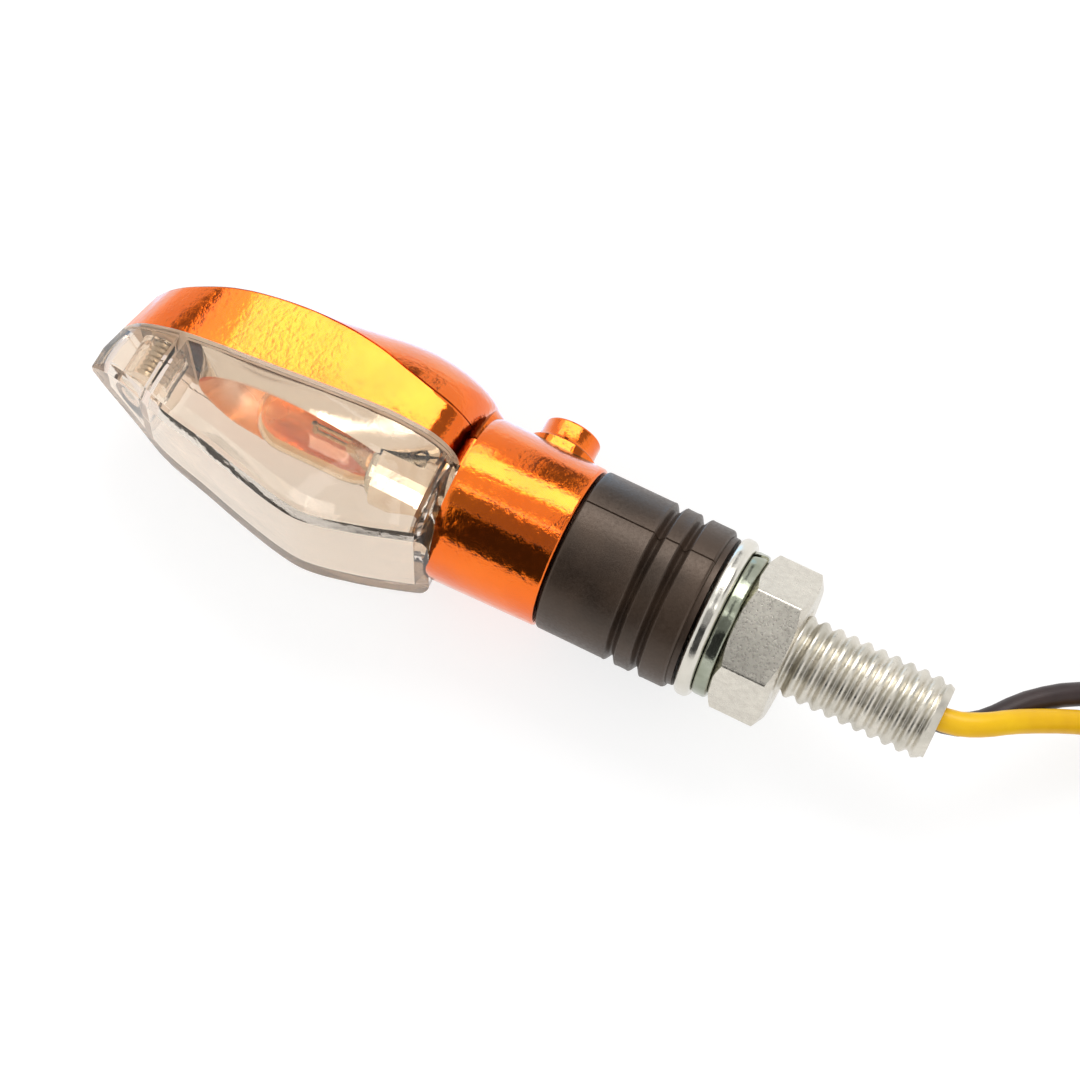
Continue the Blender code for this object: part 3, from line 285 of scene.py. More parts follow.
# %% Leads
def cable(name, points, radius, material):
    curve = bpy.data.curves.new(name, "CURVE")
    curve.dimensions = "3D"
    curve.bevel_depth = radius
    curve.bevel_resolution = 6
    curve.use_fill_caps = True
    curve.resolution_u = 1
    spline = curve.splines.new("POLY")
    spline.points.add(len(points) - 1)
    for point, place in zip(spline.points, points):
        point.co = (*place, 1.0)
    spline.use_smooth = True
    curve.materials.append(material)
    return put(name, curve)


VINYL_TINTS = {
    "yellow": ((0.92, 0.545, 0.002), (0.80, 0.42, 0.002)),
    "black": ((0.055, 0.036, 0.034), (0.030, 0.020, 0.020)),
}
vinyl = {
    colour: finish(
        colour + "_vinyl", tints, 900.0, 120.0, (0.00005, 0.35), Roughness=0.38, Specular_IOR_Level=0.28
    )
    for colour, tints in VINYL_TINTS.items()
}
for colour, route, turn_radius in (("yellow", YELLOW_ROUTE, 12.3 * MM), ("black", BLACK_ROUTE, 15.3 * MM)):
    path = smooth_path(lead_path(route, turn_radius, "bullet_" + colour), 3)
    lead = cable(colour + "_lead", path, LEAD_RADIUS, vinyl[colour])
    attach(lead, "stud")
    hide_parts("lead_" + colour, "tail_" + colour, "lead_coil")

# %% [markdown]
# ## Mesh helpers
#
# Most pieces of the lamp are turned, lofted or extruded, and so are their meshes here. Holes and joined
# bosses could stay as modifiers. They are applied at once, so that no tool is left in the scene. Real edges
# are never quite sharp: where one shows, a narrow bevel catches the light.

# %% Finishing a piece
def ease(made, width, segments=3, harden=True):
    """Narrow bevels on the sharp edges."""
    step = made.modifiers.new("Eased edges", "BEVEL")
    step.width = width
    step.segments = segments
    step.limit_method = "ANGLE"
    step.angle_limit = math.radians(30)
    step.harden_normals = harden


def piece(name, bm, material, body, stands_for=(), sharp=30.0):
    """Finishes a mesh, puts it on its body, and hides the CAD nodes that it stands for."""
    bmesh.ops.remove_doubles(bm, verts=bm.verts, dist=2e-7)
    loose = [edge for edge in bm.edges if not edge.link_faces]
    bmesh.ops.delete(bm, geom=loose, context="EDGES")
    bmesh.ops.recalc_face_normals(bm, faces=bm.faces)
    mesh = bpy.data.meshes.new(name)
    bm.to_mesh(mesh)
    bm.free()
    mesh.shade_smooth()
    mesh.set_sharp_from_angle(angle=math.radians(sharp))
    mesh.materials.append(material)
    made = put(name, mesh)
    if body:
        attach(made, body)
    if stands_for:
        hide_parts(*stands_for)
    return made


def carve(target, tool_mesh, name, operation="DIFFERENCE"):
    """Cuts or joins a mesh for good, so that no tool object is left."""
    mesh = bpy.data.meshes.new(name)
    bmesh.ops.recalc_face_normals(tool_mesh, faces=tool_mesh.faces)
    tool_mesh.to_mesh(mesh)
    tool_mesh.free()
    tool = put(name, mesh)
    step = target.modifiers.new(name, "BOOLEAN")
    step.operation = operation
    step.solver = "EXACT"
    step.object = tool
    bpy.context.view_layer.update()
    shaped = bpy.data.meshes.new_from_object(target.evaluated_get(bpy.context.evaluated_depsgraph_get()))
    target.modifiers.clear()
    old, target.data = target.data, shaped
    bpy.data.meshes.remove(old)
    bpy.data.objects.remove(tool)
    bpy.data.meshes.remove(mesh)


print("helpers that finish a piece are ready")

# %% Making a mesh
def verts(bm, points):
    return [bm.verts.new(point) for point in points]


def join(bm, first, second):
    """Faces between two closed rings of vertices."""
    for i in range(len(first)):
        j = (i + 1) % len(first)
        bm.faces.new((first[i], first[j], second[j], second[i]))


def turned_mesh(profile, segments=96, axis=(1, 0, 0), centre=(0, 0, 0), closed=False):
    """Spins (along, radius) pairs about an axis through the centre."""
    direction, place = Vector(axis), Vector(centre)
    side = Vector((0, 0, 1)) if abs(direction.z) < 0.5 else Vector((1, 0, 0))
    bm = bmesh.new()
    ring = verts(bm, (place + direction * a + side * r for a, r in profile))
    pairs = zip(ring, ring[1:] + ring[:1]) if closed else zip(ring, ring[1:])
    edges = [bm.edges.new(pair) for pair in pairs]
    bmesh.ops.spin(
        bm, geom=ring + edges, cent=place, axis=direction, angle=math.tau, steps=segments, use_merge=True
    )
    return bm


def rod_mesh(radius, start, end, segments=64, axis=(1, 0, 0), centre=(0, 0, 0)):
    return turned_mesh([(start, 0.0), (start, radius), (end, radius), (end, 0.0)], segments, axis, centre)


def drill(target, name, radius, low_y, high_y, x, segments=48):
    """A round hole along Y at a place on the lamp's axis."""
    carve(target, rod_mesh(radius, low_y, high_y, segments, (0, 1, 0), (x, 0, 0)), name)


def block_mesh(place, size):
    bm = bmesh.new()
    bmesh.ops.create_cube(bm, size=1.0, matrix=place @ Matrix.Diagonal((*size, 1.0)))
    return bm


def prism_mesh(outline, way):
    """A closed outline drawn out along a way."""
    bm = bmesh.new()
    made = bmesh.ops.extrude_face_region(bm, geom=[bm.faces.new(verts(bm, outline))])
    moved = [v for v in made["geom"] if isinstance(v, bmesh.types.BMVert)]
    bmesh.ops.translate(bm, verts=moved, vec=way)
    return bm


def lofted_mesh(sections):
    """A solid through mirrored sections, with each end closed by flat strips between mirrored points."""
    bm = bmesh.new()
    rings = [verts(bm, section) for section in sections]
    for first, second in zip(rings, rings[1:]):
        join(bm, first, second)
    count = len(rings[0])
    for i in range(count // 2):
        strip = list(dict.fromkeys((i, i + 1, count - 2 - i, count - 1 - i)))
        bm.faces.new([rings[0][k] for k in strip])
        bm.faces.new([rings[-1][k] for k in reversed(strip)])
    return bm


def arc(centre, radius, first, last, steps):
    """Points of an arc in the profile's plane, with angles in degrees from the axis direction."""
    turn = [math.radians(first + (last - first) * k / steps) for k in range(steps + 1)]
    return [(centre[0] + radius * math.cos(angle), centre[1] + radius * math.sin(angle)) for angle in turn]


print("helpers that make a mesh are ready")

# %% [markdown]
# ## Coil tie
#
# A nylon strap holds the turns together. Its end runs through a small locking head and is cut off behind
# it. It could be one bent strip, but a rounded band with such a head joined on top looks the same and is
# one solid.

# %% Coil tie
STRAP_WALL, STRAP_CORNER = 0.8 * MM, 1.2 * MM
LOCK_SIZE = Vector((4.6, 4.4, 2.6)) * MM


def rounded_ring(low, high, radius, steps=8):
    """(x, z) points of a rectangle with round corners, between two corners."""
    points = []
    for x, z, first in (
        (high[0] - radius, high[1] - radius, 0), (low[0] + radius, high[1] - radius, 90),
        (low[0] + radius, low[1] + radius, 180), (high[0] - radius, low[1] + radius, 270),
    ):
        points += arc((x, z), radius, first, first + 90, steps)
    return points


def strap_mesh(low, high, wall, radius):
    bm = bmesh.new()
    outer = rounded_ring((low.x, low.z), (high.x, high.z), radius + wall)
    inner = rounded_ring((low.x + wall, low.z + wall), (high.x - wall, high.z - wall), radius)
    loops = [
        verts(bm, ((x, y, z) for x, z in ring))
        for ring, y in ((outer, low.y), (outer, high.y), (inner, high.y), (inner, low.y))
    ]
    for first, second in zip(loops, loops[1:] + loops[:1]):
        join(bm, first, second)
    return bm


nylon = finish("nylon", ((0.78, 0.76, 0.70), (0.70, 0.68, 0.62)), Roughness=0.4)
tie_low, tie_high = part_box("coil_tie")
strap = strap_mesh(tie_low, tie_high, STRAP_WALL, STRAP_CORNER)
tie = piece("coil_tie_strap", strap, nylon, "stud", ("coil_tie",))
lock_place = (tie_low + tie_high) / 2
lock_place.z = tie_high.z + LOCK_SIZE.z / 2 - 0.5 * MM
for name, offset, size, operation in (
    ("locking_head", (0, 0, 0), LOCK_SIZE, "UNION"),
    ("head_slot", (0, 0, 0.9 * MM), (3.2 * MM, 2.4 * MM, 1.6 * MM), "DIFFERENCE"),
    ("cut_end", (LOCK_SIZE.x / 2 + 0.9 * MM, 0, 0.1 * MM), (2.4 * MM, 2.6 * MM, 0.8 * MM), "UNION"),
):
    carve(tie, block_mesh(Matrix.Translation(lock_place + Vector(offset)), size), name, operation)
ease(tie, 0.15 * MM, 2, harden=False)
print("tie: {} faces".format(len(tie.data.polygons)))

# %% [markdown]

# %% [markdown]
# ## The head's form
#
# The head is a raked teardrop. Points could be pushed about by hand, but the housing and the lens share
# most of their lines. So both are lofted from the same curves, which are also those of the solids: the
# plan, the band's back edge, the crest of the hump and the lens's front. Shares run from the collar to the
# tip.

# %% Curves of the head
CORNER_RADIUS = 6.0 * MM
NECK_INSET = 2.0 * MM
RIM_Y = 1.0 * MM
LENS_RIM_Y = RIM_Y - 0.06 * MM
HOUSING_DEPTH = 12.9 * MM
LENS_DEPTH = 15.4 * MM
TIP_RAKE, RAKE_Y, RAKE_FROM = 0.245, -2.75 * MM, 34.0 * MM
NECK_RAKE, RAKE_NECK_TO = 0.15, 10.0 * MM
CORNER_T = NECK_INSET + CORNER_RADIUS
CORNER_Z = HEAD_HALF_WIDTH * 0.98 - CORNER_RADIUS
PLAN = (
    (0.165, 0.980), (0.23, 1.0), (0.38, 0.908), (0.47, 0.838), (0.59, 0.747),
    (0.70, 0.667), (0.81, 0.556), (0.90, 0.40), (0.96, 0.235), (1.0, 0.05),
)
EDGE = (
    (-0.04, 0.30), (0.10, 0.335), (0.23, 0.43), (0.33, 0.545), (0.45, 0.63),
    (0.59, 0.655), (0.75, 0.60), (0.84, 0.54), (0.95, 0.46), (1.0, 0.40),
)
CREST = (
    (-0.04, 0.62), (0.0, 0.70), (0.045, 0.81), (0.10, 0.885), (0.19, 0.95), (0.28, 0.945),
    (0.38, 0.875), (0.50, 0.775), (0.62, 0.72), (0.78, 0.65), (0.92, 0.52), (1.0, 0.42),
)
FRONT = (
    (0.0, 0.67), (0.10, 0.80), (0.20, 0.92), (0.30, 0.99), (0.37, 0.98),
    (0.50, 0.895), (0.62, 0.80), (0.75, 0.705), (0.88, 0.545), (1.0, 0.43),
)


def curve_at(points, t):
    """A smooth curve through (share, value) pairs at a place along the head, held flat past its ends."""
    share = t / HEAD_LENGTH
    if share <= points[0][0]:
        return points[0][1]
    if share >= points[-1][0]:
        return points[-1][1]
    i = max(k for k in range(len(points) - 1) if points[k][0] <= share)
    (a, va), (b, vb) = points[i], points[i + 1]

    def slope(k):
        low, high = points[max(k - 1, 0)], points[min(k + 1, len(points) - 1)]
        return (high[1] - low[1]) / (high[0] - low[0])

    s = (share - a) / (b - a)
    first, last = slope(i) * (b - a), slope(i + 1) * (b - a)
    return (
        va * (2 * s**3 - 3 * s**2 + 1) + first * (s**3 - 2 * s**2 + s)
        + vb * (3 * s**2 - 2 * s**3) + last * (s**3 - s**2)
    )


def edge_y(t):
    return RIM_Y + curve_at(EDGE, t) * HOUSING_DEPTH


def crest_y(t):
    return RIM_Y + curve_at(CREST, t) * HOUSING_DEPTH


def front_y(t):
    return RIM_Y - curve_at(FRONT, t) * LENS_DEPTH


def half_width(t, inset=0.0):
    if t >= CORNER_T:
        return curve_at(PLAN, t) * HEAD_HALF_WIDTH - inset
    return CORNER_Z + math.sqrt(max(0.0, (CORNER_RADIUS - inset) ** 2 - (CORNER_T - t) ** 2))


def held(share):
    return min(max(share, 0.0), 1.0)


def raked_x(t, y):
    """X of a point of the head, whose two ends lean further out towards the lens's front."""
    at_tip = held((t - RAKE_FROM) / (HEAD_LENGTH - RAKE_FROM))
    at_neck = held((RAKE_NECK_TO - t) / (RAKE_NECK_TO - NECK_INSET))
    return HEAD_X - t + at_tip * TIP_RAKE * max(y - RAKE_Y, 0.0) + at_neck * NECK_RAKE * max(RIM_Y - y, 0.0)


print("hump {:.1f} mm high".format((crest_y(0.2 * HEAD_LENGTH) - RIM_Y) / MM))
print("lens {:.1f} mm deep".format((RIM_Y - front_y(0.3 * HEAD_LENGTH)) / MM))

# %% Sections of the housing
EDGE_ROUND = 0.5 * MM
BAND_CROWN = 0.22 * MM


def stations(first, last, corner_steps=14, body_steps=90):
    """Places along the head: close together round the corner and near the tip."""
    turn = CORNER_T - first
    corner = [CORNER_T - turn * math.cos(math.radians(90 * k / corner_steps)) for k in range(corner_steps)]
    return corner + [
        CORNER_T + (last - CORNER_T) * math.sin(math.pi / 2 * k / body_steps) ** 0.9
        for k in range(body_steps + 1)
    ]


def mirrored(half):
    return half + [(y, -z) for y, z in reversed(half[:-1])]


def loft(section, places, *sizes):
    """A loft through one kind of section at places along the head."""
    return lofted_mesh([[(raked_x(t, y), y, z) for y, z in section(t, *sizes)] for t in places])


def housing_section(t, inset=0.0, rim=RIM_Y):
    """Flat rim, slightly crowned band up to the sharp edge, then the domed back."""
    wide = half_width(max(t, NECK_INSET + inset), inset)
    low, high = edge_y(t) - inset, crest_y(t) - inset
    high = max(high, low + 0.2 * MM)
    soft = min(EDGE_ROUND, 0.25 * wide, 0.25 * (high - low))
    crown = min(BAND_CROWN, 0.1 * wide)
    band = [(rim + (low - soft - rim) * k / 6, wide - crown * (k / 6) ** 2) for k in range(7)]
    wide -= crown
    turn = [(low - soft * 0.35, wide - soft * 0.08), (low - soft * 0.02, wide - soft * 0.35)]
    spread = [math.cos(math.pi / 2 * k / 18) ** 0.8 for k in range(1, 18)]
    back = [(low + (high - low) * (1 - u**3.2), u * wide) for u in spread]
    return mirrored([*band, *turn, *back, (high, 0.0)])


print("a section of the housing has {} points".format(len(housing_section(CORNER_T))))

# %% Sections of the lens
LENS_WALL = 1.8 * MM
LENS_CHAMFER = 1.3 * MM
LENS_LIP = 0.22 * MM
FRONT_HALF_WIDTH = 7.8 * MM
FRONT_WIDTH = (
    (0.0, 0.92), (0.06, 1.0), (0.16, 1.0), (0.30, 0.96), (0.50, 0.94),
    (0.75, 0.80), (0.87, 0.61), (0.95, 0.34), (1.0, 0.07),
)


def lens_section(t, inset=0.0, rim=LENS_RIM_Y, lip=0.0):
    """A lip along the joint, side walls down to a narrow chamfer, then the flat front facet."""
    wide = half_width(max(t, NECK_INSET + inset), inset)
    front = front_y(t) + inset
    facet = min(curve_at(FRONT_WIDTH, t) * FRONT_HALF_WIDTH, 0.85 * half_width(max(t, NECK_INSET)))
    narrow = max(facet - 0.6 * inset, 0.2 * MM)
    chamfer = min(LENS_CHAMFER, 0.35 * narrow)
    foot, shoulder = front + chamfer, min(narrow + chamfer, 0.96 * wide)
    middle_y, middle_z = rim + 0.45 * (foot - rim), wide + 0.40 * (shoulder - wide)
    pull_y, pull_z = 2 * middle_y - (rim + front + chamfer) / 2, 2 * middle_z - (wide + shoulder) / 2
    wall = [(rim - 0.85 * MM, wide)]
    for s in (k / 8 for k in range(1, 9)):
        a, b, c = (1 - s) ** 2, 2 * s * (1 - s), s**2
        wall.append((a * rim + b * pull_y + c * foot, a * wide + b * pull_z + c * shoulder))
    proud = lip * min(1.0, wide / (4 * MM))
    edge = [(rim, wide + proud * 0.7), (rim - 0.12 * MM, wide + proud), (rim - 0.65 * MM, wide + proud)]
    return mirrored([*edge, *wall, (front, narrow), (front, narrow / 2), (front, 0.0)])


print("a section of the lens has {} points".format(len(lens_section(CORNER_T))))

# %% [markdown]
# ## Plated head
#
# The real head is a zinc casting under coloured chrome. One tinted metal would look flat. So the finish is
# a metal with a clear coat, for the orange lacquer on the chrome, and with a bump for the casting's fine
# hammered skin. Where the plating is mirrored in itself, its colour is painted a darker brown for reflected
# rays only: painted shade in its own reflections, standing for light that passes the lacquer twice.

# %% Chrome
def make_chrome():
    made = finish(
        "orange_chrome", ((0.90, 0.170, 0.010), (0.82, 0.135, 0.008)), 1300.0, 110.0, (0.00010, 0.55),
        (0.07, 0.19), Metallic=1.0, Roughness=0.12, Coat_Weight=0.35, Coat_Roughness=0.10, Coat_IOR=1.5,
    )
    tree = made.node_tree
    base = tree.nodes["Principled BSDF"].inputs["Base Color"]
    # Painted shade: seen in reflections, the plating takes a darker brown in place of its own colour.
    seen = add(tree, "ShaderNodeLightPath").outputs["Is Glossy Ray"]
    tree.links.new(mixed(tree, seen, base.links[0].from_socket, (0.34, 0.15, 0.03)), base)
    return made


chrome = make_chrome()
print("finish of the head:", chrome.name)

# %% [markdown]
# The casting itself is a loft. The collar and the clamp screw's boss could be lofted with it, but they are
# round on the real one too, so they are turned and joined to it.

# %% Outside of the head
COLLAR_BORE = COLLAR_END_RADIUS - 1.75 * MM
BOSS_X = HEAD_X + 7.0 * MM
BOSS_RADIUS = 3.65 * MM
BOSS_TOP = 13.4 * MM
head_loft = loft(housing_section, (-1.5 * MM, 1.0 * MM, *stations(NECK_INSET, HEAD_LENGTH)))
head = piece("housing_skin", head_loft, chrome, "head", ("housing",))
carve(head, turned_mesh([
    (HEAD_X - 1 * MM, 0.0), (HEAD_X - 1 * MM, COLLAR_RADIUS - 0.3 * MM), (HEAD_X, COLLAR_RADIUS),
    *arc((COLLAR_END_X - 0.4 * MM, COLLAR_END_RADIUS - 0.4 * MM), 0.4 * MM, 90, 0, 6), (COLLAR_END_X, 0.0),
], 128), "collar", "UNION")
carve(head, turned_mesh([
    (COLLAR_BORE + 0.3 * MM, 0.0), (COLLAR_BORE + 0.3 * MM, BOSS_RADIUS + 0.9 * MM),
    (COLLAR_RADIUS - 0.1 * MM, BOSS_RADIUS + 0.9 * MM), (COLLAR_RADIUS + 0.15 * MM, BOSS_RADIUS + 0.55 * MM),
    (COLLAR_RADIUS + 0.35 * MM, BOSS_RADIUS + 0.15 * MM), (COLLAR_RADIUS + 0.7 * MM, BOSS_RADIUS),
    *arc((BOSS_TOP - 0.35 * MM, BOSS_RADIUS - 0.35 * MM), 0.35 * MM, 90, 0, 5), (BOSS_TOP, 0.0),
], 96, (0, 1, 0), (BOSS_X, 0, 0)), "boss", "UNION")
print("outside of the head: {} faces".format(len(head.data.polygons)))

# %% [markdown]
# The casting is hollow: a rebate for the seal, the space behind the reflector, the bore for the stem and
# four holes for screws. A shell could be thickened from the skin, but cuts give each hollow the size it
# has.

# %% Hollows of the head
NECK_BORE = 5.8 * MM
HOUSING_WALL = 3.0 * MM
PARTITION_AT = 39.0 * MM
PARTITION = 1.4 * MM
REBATE = 1.0 * MM
REBATE_FLOOR_Y = RIM_Y + 1.2 * MM
LENS_SCREW_AT = 41.6 * MM
LENS_SCREW_X = HEAD_X - LENS_SCREW_AT
LENS_SCREW_SEAT_Y = RIM_Y + 0.45 * (crest_y(LENS_SCREW_AT) - RIM_Y)
LENS_SCREW_HOLE, CLAMP_HOLE = 1.7 * MM, 2.3 * MM
SCREW_HEAD_HEIGHT = 1.6 * MM
CLAMP_SEAT_Y = BOSS_TOP - 0.9 * MM - SCREW_HEAD_HEIGHT - GAP

plan = [
    (raked_x(t, RIM_Y), half_width(max(t, NECK_INSET + REBATE), REBATE))
    for t in stations(NECK_INSET + REBATE, HEAD_LENGTH - 1.6 * REBATE, 10, 40)
]
low = RIM_Y - 2 * MM
outline = [(x, low, z) for x, z in plan] + [(x, low, -z) for x, z in reversed(plan)]
carve(head, prism_mesh(outline, (0, REBATE_FLOOR_Y - low, 0)), "rebate")
hollow_places = stations(NECK_INSET + HOUSING_WALL, PARTITION_AT - PARTITION, 8, 40)
carve(head, loft(housing_section, hollow_places, HOUSING_WALL, RIM_Y - 1 * MM), "hollow")
carve(head, rod_mesh(NECK_BORE, HEAD_X - NECK_INSET - 2 * HOUSING_WALL, HEAD_X + 2 * MM), "neck_bore")
carve(head, rod_mesh(COLLAR_BORE, HEAD_X + 1 * MM, COLLAR_END_X + 1 * MM, 96), "collar_bore")
drill(head, "lens_screw_hole", LENS_SCREW_HOLE, -1 * MM, BOSS_TOP, LENS_SCREW_X)
drill(head, "lens_screw_seat", 2.6 * MM, LENS_SCREW_SEAT_Y, RIM_Y + HOUSING_DEPTH, LENS_SCREW_X)
drill(head, "clamp_hole", CLAMP_HOLE, 0.0, BOSS_TOP + 1 * MM, BOSS_X)
drill(head, "clamp_seat", 2.75 * MM, CLAMP_SEAT_Y, BOSS_TOP + 1 * MM, BOSS_X)
head.data.set_sharp_from_angle(angle=math.radians(32))
print("head with its hollows: {} faces".format(len(head.data.polygons)))

# %% [markdown]
# ## Clear lens
#
# The real lens is one clear moulding. A single skin of glass would show no thickness, so it gets both faces
# of its wall: an outer loft with two hollows in it, a partition between them and a screw boss in the tip.
# The plastic has a faint warm tint and a slightly wavy moulded skin.

# %% Clear lens
clear = finish(
    "clear_lens", None, 420.0, 90.0, (0.00005, 0.35),
    Base_Color=(0.945, 0.865, 0.775), Transmission_Weight=0.97, IOR=1.38, Roughness=0.02,
)
lens_loft = loft(lens_section, stations(NECK_INSET, HEAD_LENGTH), 0.0, LENS_RIM_Y, LENS_LIP)
lens = piece("lens_moulding", lens_loft, clear, "head", ("lens",))
open_y = RIM_Y + 0.7 * MM
main_places = stations(NECK_INSET + LENS_WALL, PARTITION_AT - PARTITION / 2, 10, 60)
carve(lens, loft(lens_section, main_places, LENS_WALL, open_y), "main_hollow")
tip_from, tip_to = PARTITION_AT + PARTITION / 2, HEAD_LENGTH - 1.6 * LENS_WALL
tip_places = [tip_from + (tip_to - tip_from) * k / 12 for k in range(13)]
pocket = piece("tip_hollow", loft(lens_section, tip_places, LENS_WALL, open_y), clear, None)
drill(pocket, "boss", 2.7 * MM, front_y(LENS_SCREW_AT), RIM_Y - 2 * GAP, LENS_SCREW_X)
tip_mesh = bmesh.new()
tip_mesh.from_mesh(pocket.data)
bpy.data.objects.remove(pocket)
carve(lens, tip_mesh, "tip_hollow")
drill(lens, "screw_hole", LENS_SCREW_HOLE, LENS_SCREW_SEAT_Y - 9 * MM, RIM_Y + 2 * MM, LENS_SCREW_X)
carve(lens, rod_mesh(6.0 * MM, HEAD_X - NECK_INSET - 2 * LENS_WALL, HEAD_X), "bulb_notch")
print("lens: {} faces".format(len(lens.data.polygons)))

# %% [markdown]
# The rim that sits on the seal is rough on a real lens and looks frosted. A second object could carry that.
# A second material on the rim's own faces does it without a seam.

# %% Frosted rim
lens.data.materials.append(finish("frosted_rim", ((0.86, 0.66, 0.50), (0.78, 0.56, 0.40)), Roughness=0.6))
for polygon in lens.data.polygons:
    if polygon.normal.y > 0.99 and abs(polygon.center.y - LENS_RIM_Y) < 0.02 * MM:
        polygon.material_index = 1
lens.data.set_sharp_from_angle(angle=math.radians(20))
print("frosted rim: {} faces".format(sum(polygon.material_index for polygon in lens.data.polygons)))

# %% [markdown]
# ## Reflector
#
# The bowl and its deck are one plated pressing, and in the bowl the plating takes the bulb's amber glow.
# Light from the bulb could tint it, but would be lost in even studio light. So a mask of the bowl's oval,
# in object coordinates, carries the glow and its streaks, and the deck round it stays pale.

# %% Plating of the reflector
DECK_INSET = 2.5 * MM
DECK_FROM = NECK_INSET + DECK_INSET
DECK_TO = PARTITION_AT - PARTITION / 2 - LENS_WALL
BOWL_MARGIN = 3.5 * MM
BOWL_HALF_LENGTH = (DECK_TO - 0.5 * MM - DECK_FROM - BOWL_MARGIN) / 2
BOWL_CENTRE_T = DECK_FROM + BOWL_MARGIN + BOWL_HALF_LENGTH
BOWL_HALF_WIDTH = HEAD_HALF_WIDTH - DECK_INSET - 2.95 * MM


def make_plated():
    """Bright plating. Inside the bowl's oval it takes the bulb's amber glow, in streaks along the bowl."""
    made = finish("reflector_plate", None, 500.0, 130.0, (0.0001, 0.5), Metallic=1.0, Roughness=0.16)
    tree = made.node_tree
    sockets = tree.nodes["Principled BSDF"].inputs
    place = add(tree, "ShaderNodeTexCoord").outputs["Object"]
    across = (1 / BOWL_HALF_LENGTH, 0.0, 1 / BOWL_HALF_WIDTH)
    middle = ((BOWL_CENTRE_T - HEAD_X) / BOWL_HALF_LENGTH, 0.0, 0.0)
    oval = add(tree, "ShaderNodeMapping", {"Vector": place, "Scale": across, "Location": middle}).outputs[0]
    reach = add(tree, "ShaderNodeVectorMath", {0: oval}, operation="LENGTH").outputs["Value"]
    stretched = add(tree, "ShaderNodeMapping", {"Vector": place, "Scale": (60.0, 420.0, 420.0)}).outputs[0]
    noise = add(tree, "ShaderNodeTexNoise", {"Vector": stretched, "Scale": 1.0, "Detail": 3.0})
    streaks = mapped(tree, noise.outputs["Fac"], 0.40, 0.62)
    colour = mixed(tree, streaks, (0.86, 0.56, 0.42), (0.66, 0.34, 0.22))
    colour = mixed(tree, mapped(tree, reach, 0.86, 0.98), colour, (0.82, 0.32, 0.12))
    colour = mixed(tree, mapped(tree, reach, 0.99, 1.01), colour, (0.80, 0.73, 0.65))
    tree.links.new(colour, sockets["Base Color"])
    patches = tree.nodes["grain"].outputs["Patches"]
    tree.links.new(mapped(tree, patches, 0.0, 1.0, 0.10, 0.28), sockets["Roughness"])
    return made


plated = make_plated()
print("bowl {:.1f} by {:.1f} mm".format(2 * BOWL_HALF_LENGTH / MM, 2 * BOWL_HALF_WIDTH / MM))

# %% [markdown]
# A stretched sphere would not meet the deck's outline. So rings run from the bowl's bottom over its lip to
# the deck's edge, once for each face of the sheet, and one stepped cut opens the bowl for the bulb and its
# socket.

# %% Reflector
BOWL_MOUTH_Y = -1.6 * MM
BOWL_DEPTH = 8.2 * MM
BOWL_RINGS, DECK_RINGS = 18, 6
REFLECTOR_WALL = 0.9 * MM
BULB_OPENING, SOCKET_OPENING = 5.1 * MM, 5.8 * MM


def deck_share(along, across):
    """How many times further out than the bowl's lip the deck's edge lies."""
    low, high = 1.0, 4.0
    for _ in range(24):
        middle = (low + high) / 2
        t = BOWL_CENTRE_T - along * middle
        inside = DECK_FROM < t < DECK_TO and abs(across) * middle < half_width(t, DECK_INSET)
        low, high = (middle, high) if inside else (low, middle)
    return low


def reflector_mesh(sides=120):
    turn = [math.tau * k / sides for k in range(sides)]
    lip = [(BOWL_HALF_LENGTH * math.cos(angle), BOWL_HALF_WIDTH * math.sin(angle)) for angle in turn]
    reach = [deck_share(along, across) for along, across in lip]
    centre_x = HEAD_X - BOWL_CENTRE_T
    deck_height = REBATE_FLOOR_Y - GAP - REFLECTOR_WALL - BOWL_MOUTH_Y
    spreads = []
    for share in (k / BOWL_RINGS for k in range(1, BOWL_RINGS + 1)):
        spreads.append((BOWL_MOUTH_Y + BOWL_DEPTH * (1 - share**2.6), [share] * sides))
    for share in (k / DECK_RINGS for k in range(1, DECK_RINGS + 1)):
        spreads.append((BOWL_MOUTH_Y + deck_height * share, [1 + (far - 1) * share for far in reach]))
    bm = bmesh.new()
    front, back = (
        [
            verts(bm, [
                (centre_x + along * out, y + wall, across * out) for (along, across), out in zip(lip, spread)
            ])
            for y, spread in spreads
        ]
        for wall in (0.0, REFLECTOR_WALL)
    )
    for side in (front, back):
        for first, second in zip(side, side[1:]):
            join(bm, first, second)
        bm.faces.new(side[0])
    join(bm, front[-1], back[-1])
    return bm


reflector = piece("reflector_bowl", reflector_mesh(), plated, "head", ("reflector",))
socket_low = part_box("bulb_socket")[0].x
cap_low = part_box("bulb_cap")[0].x
carve(reflector, turned_mesh([
    (cap_low - 2.5 * MM, 0.0), (cap_low - 2.5 * MM, BULB_OPENING), (socket_low - GAP, BULB_OPENING),
    (socket_low - GAP, SOCKET_OPENING), (HEAD_X + 2 * MM, SOCKET_OPENING), (HEAD_X + 2 * MM, 0.0),
], 97), "bulb_and_socket_opening")
reflector.data.set_sharp_from_angle(angle=math.radians(30))
print("reflector: {} faces".format(len(reflector.data.polygons)))

# %% [markdown]
# ## Bulb
#
# A bayonet bulb with an amber envelope. A solid of glass would bend light like a lens. So the envelope is
# turned with both faces of its thin wall and a round tip, and the glass itself carries the colour.

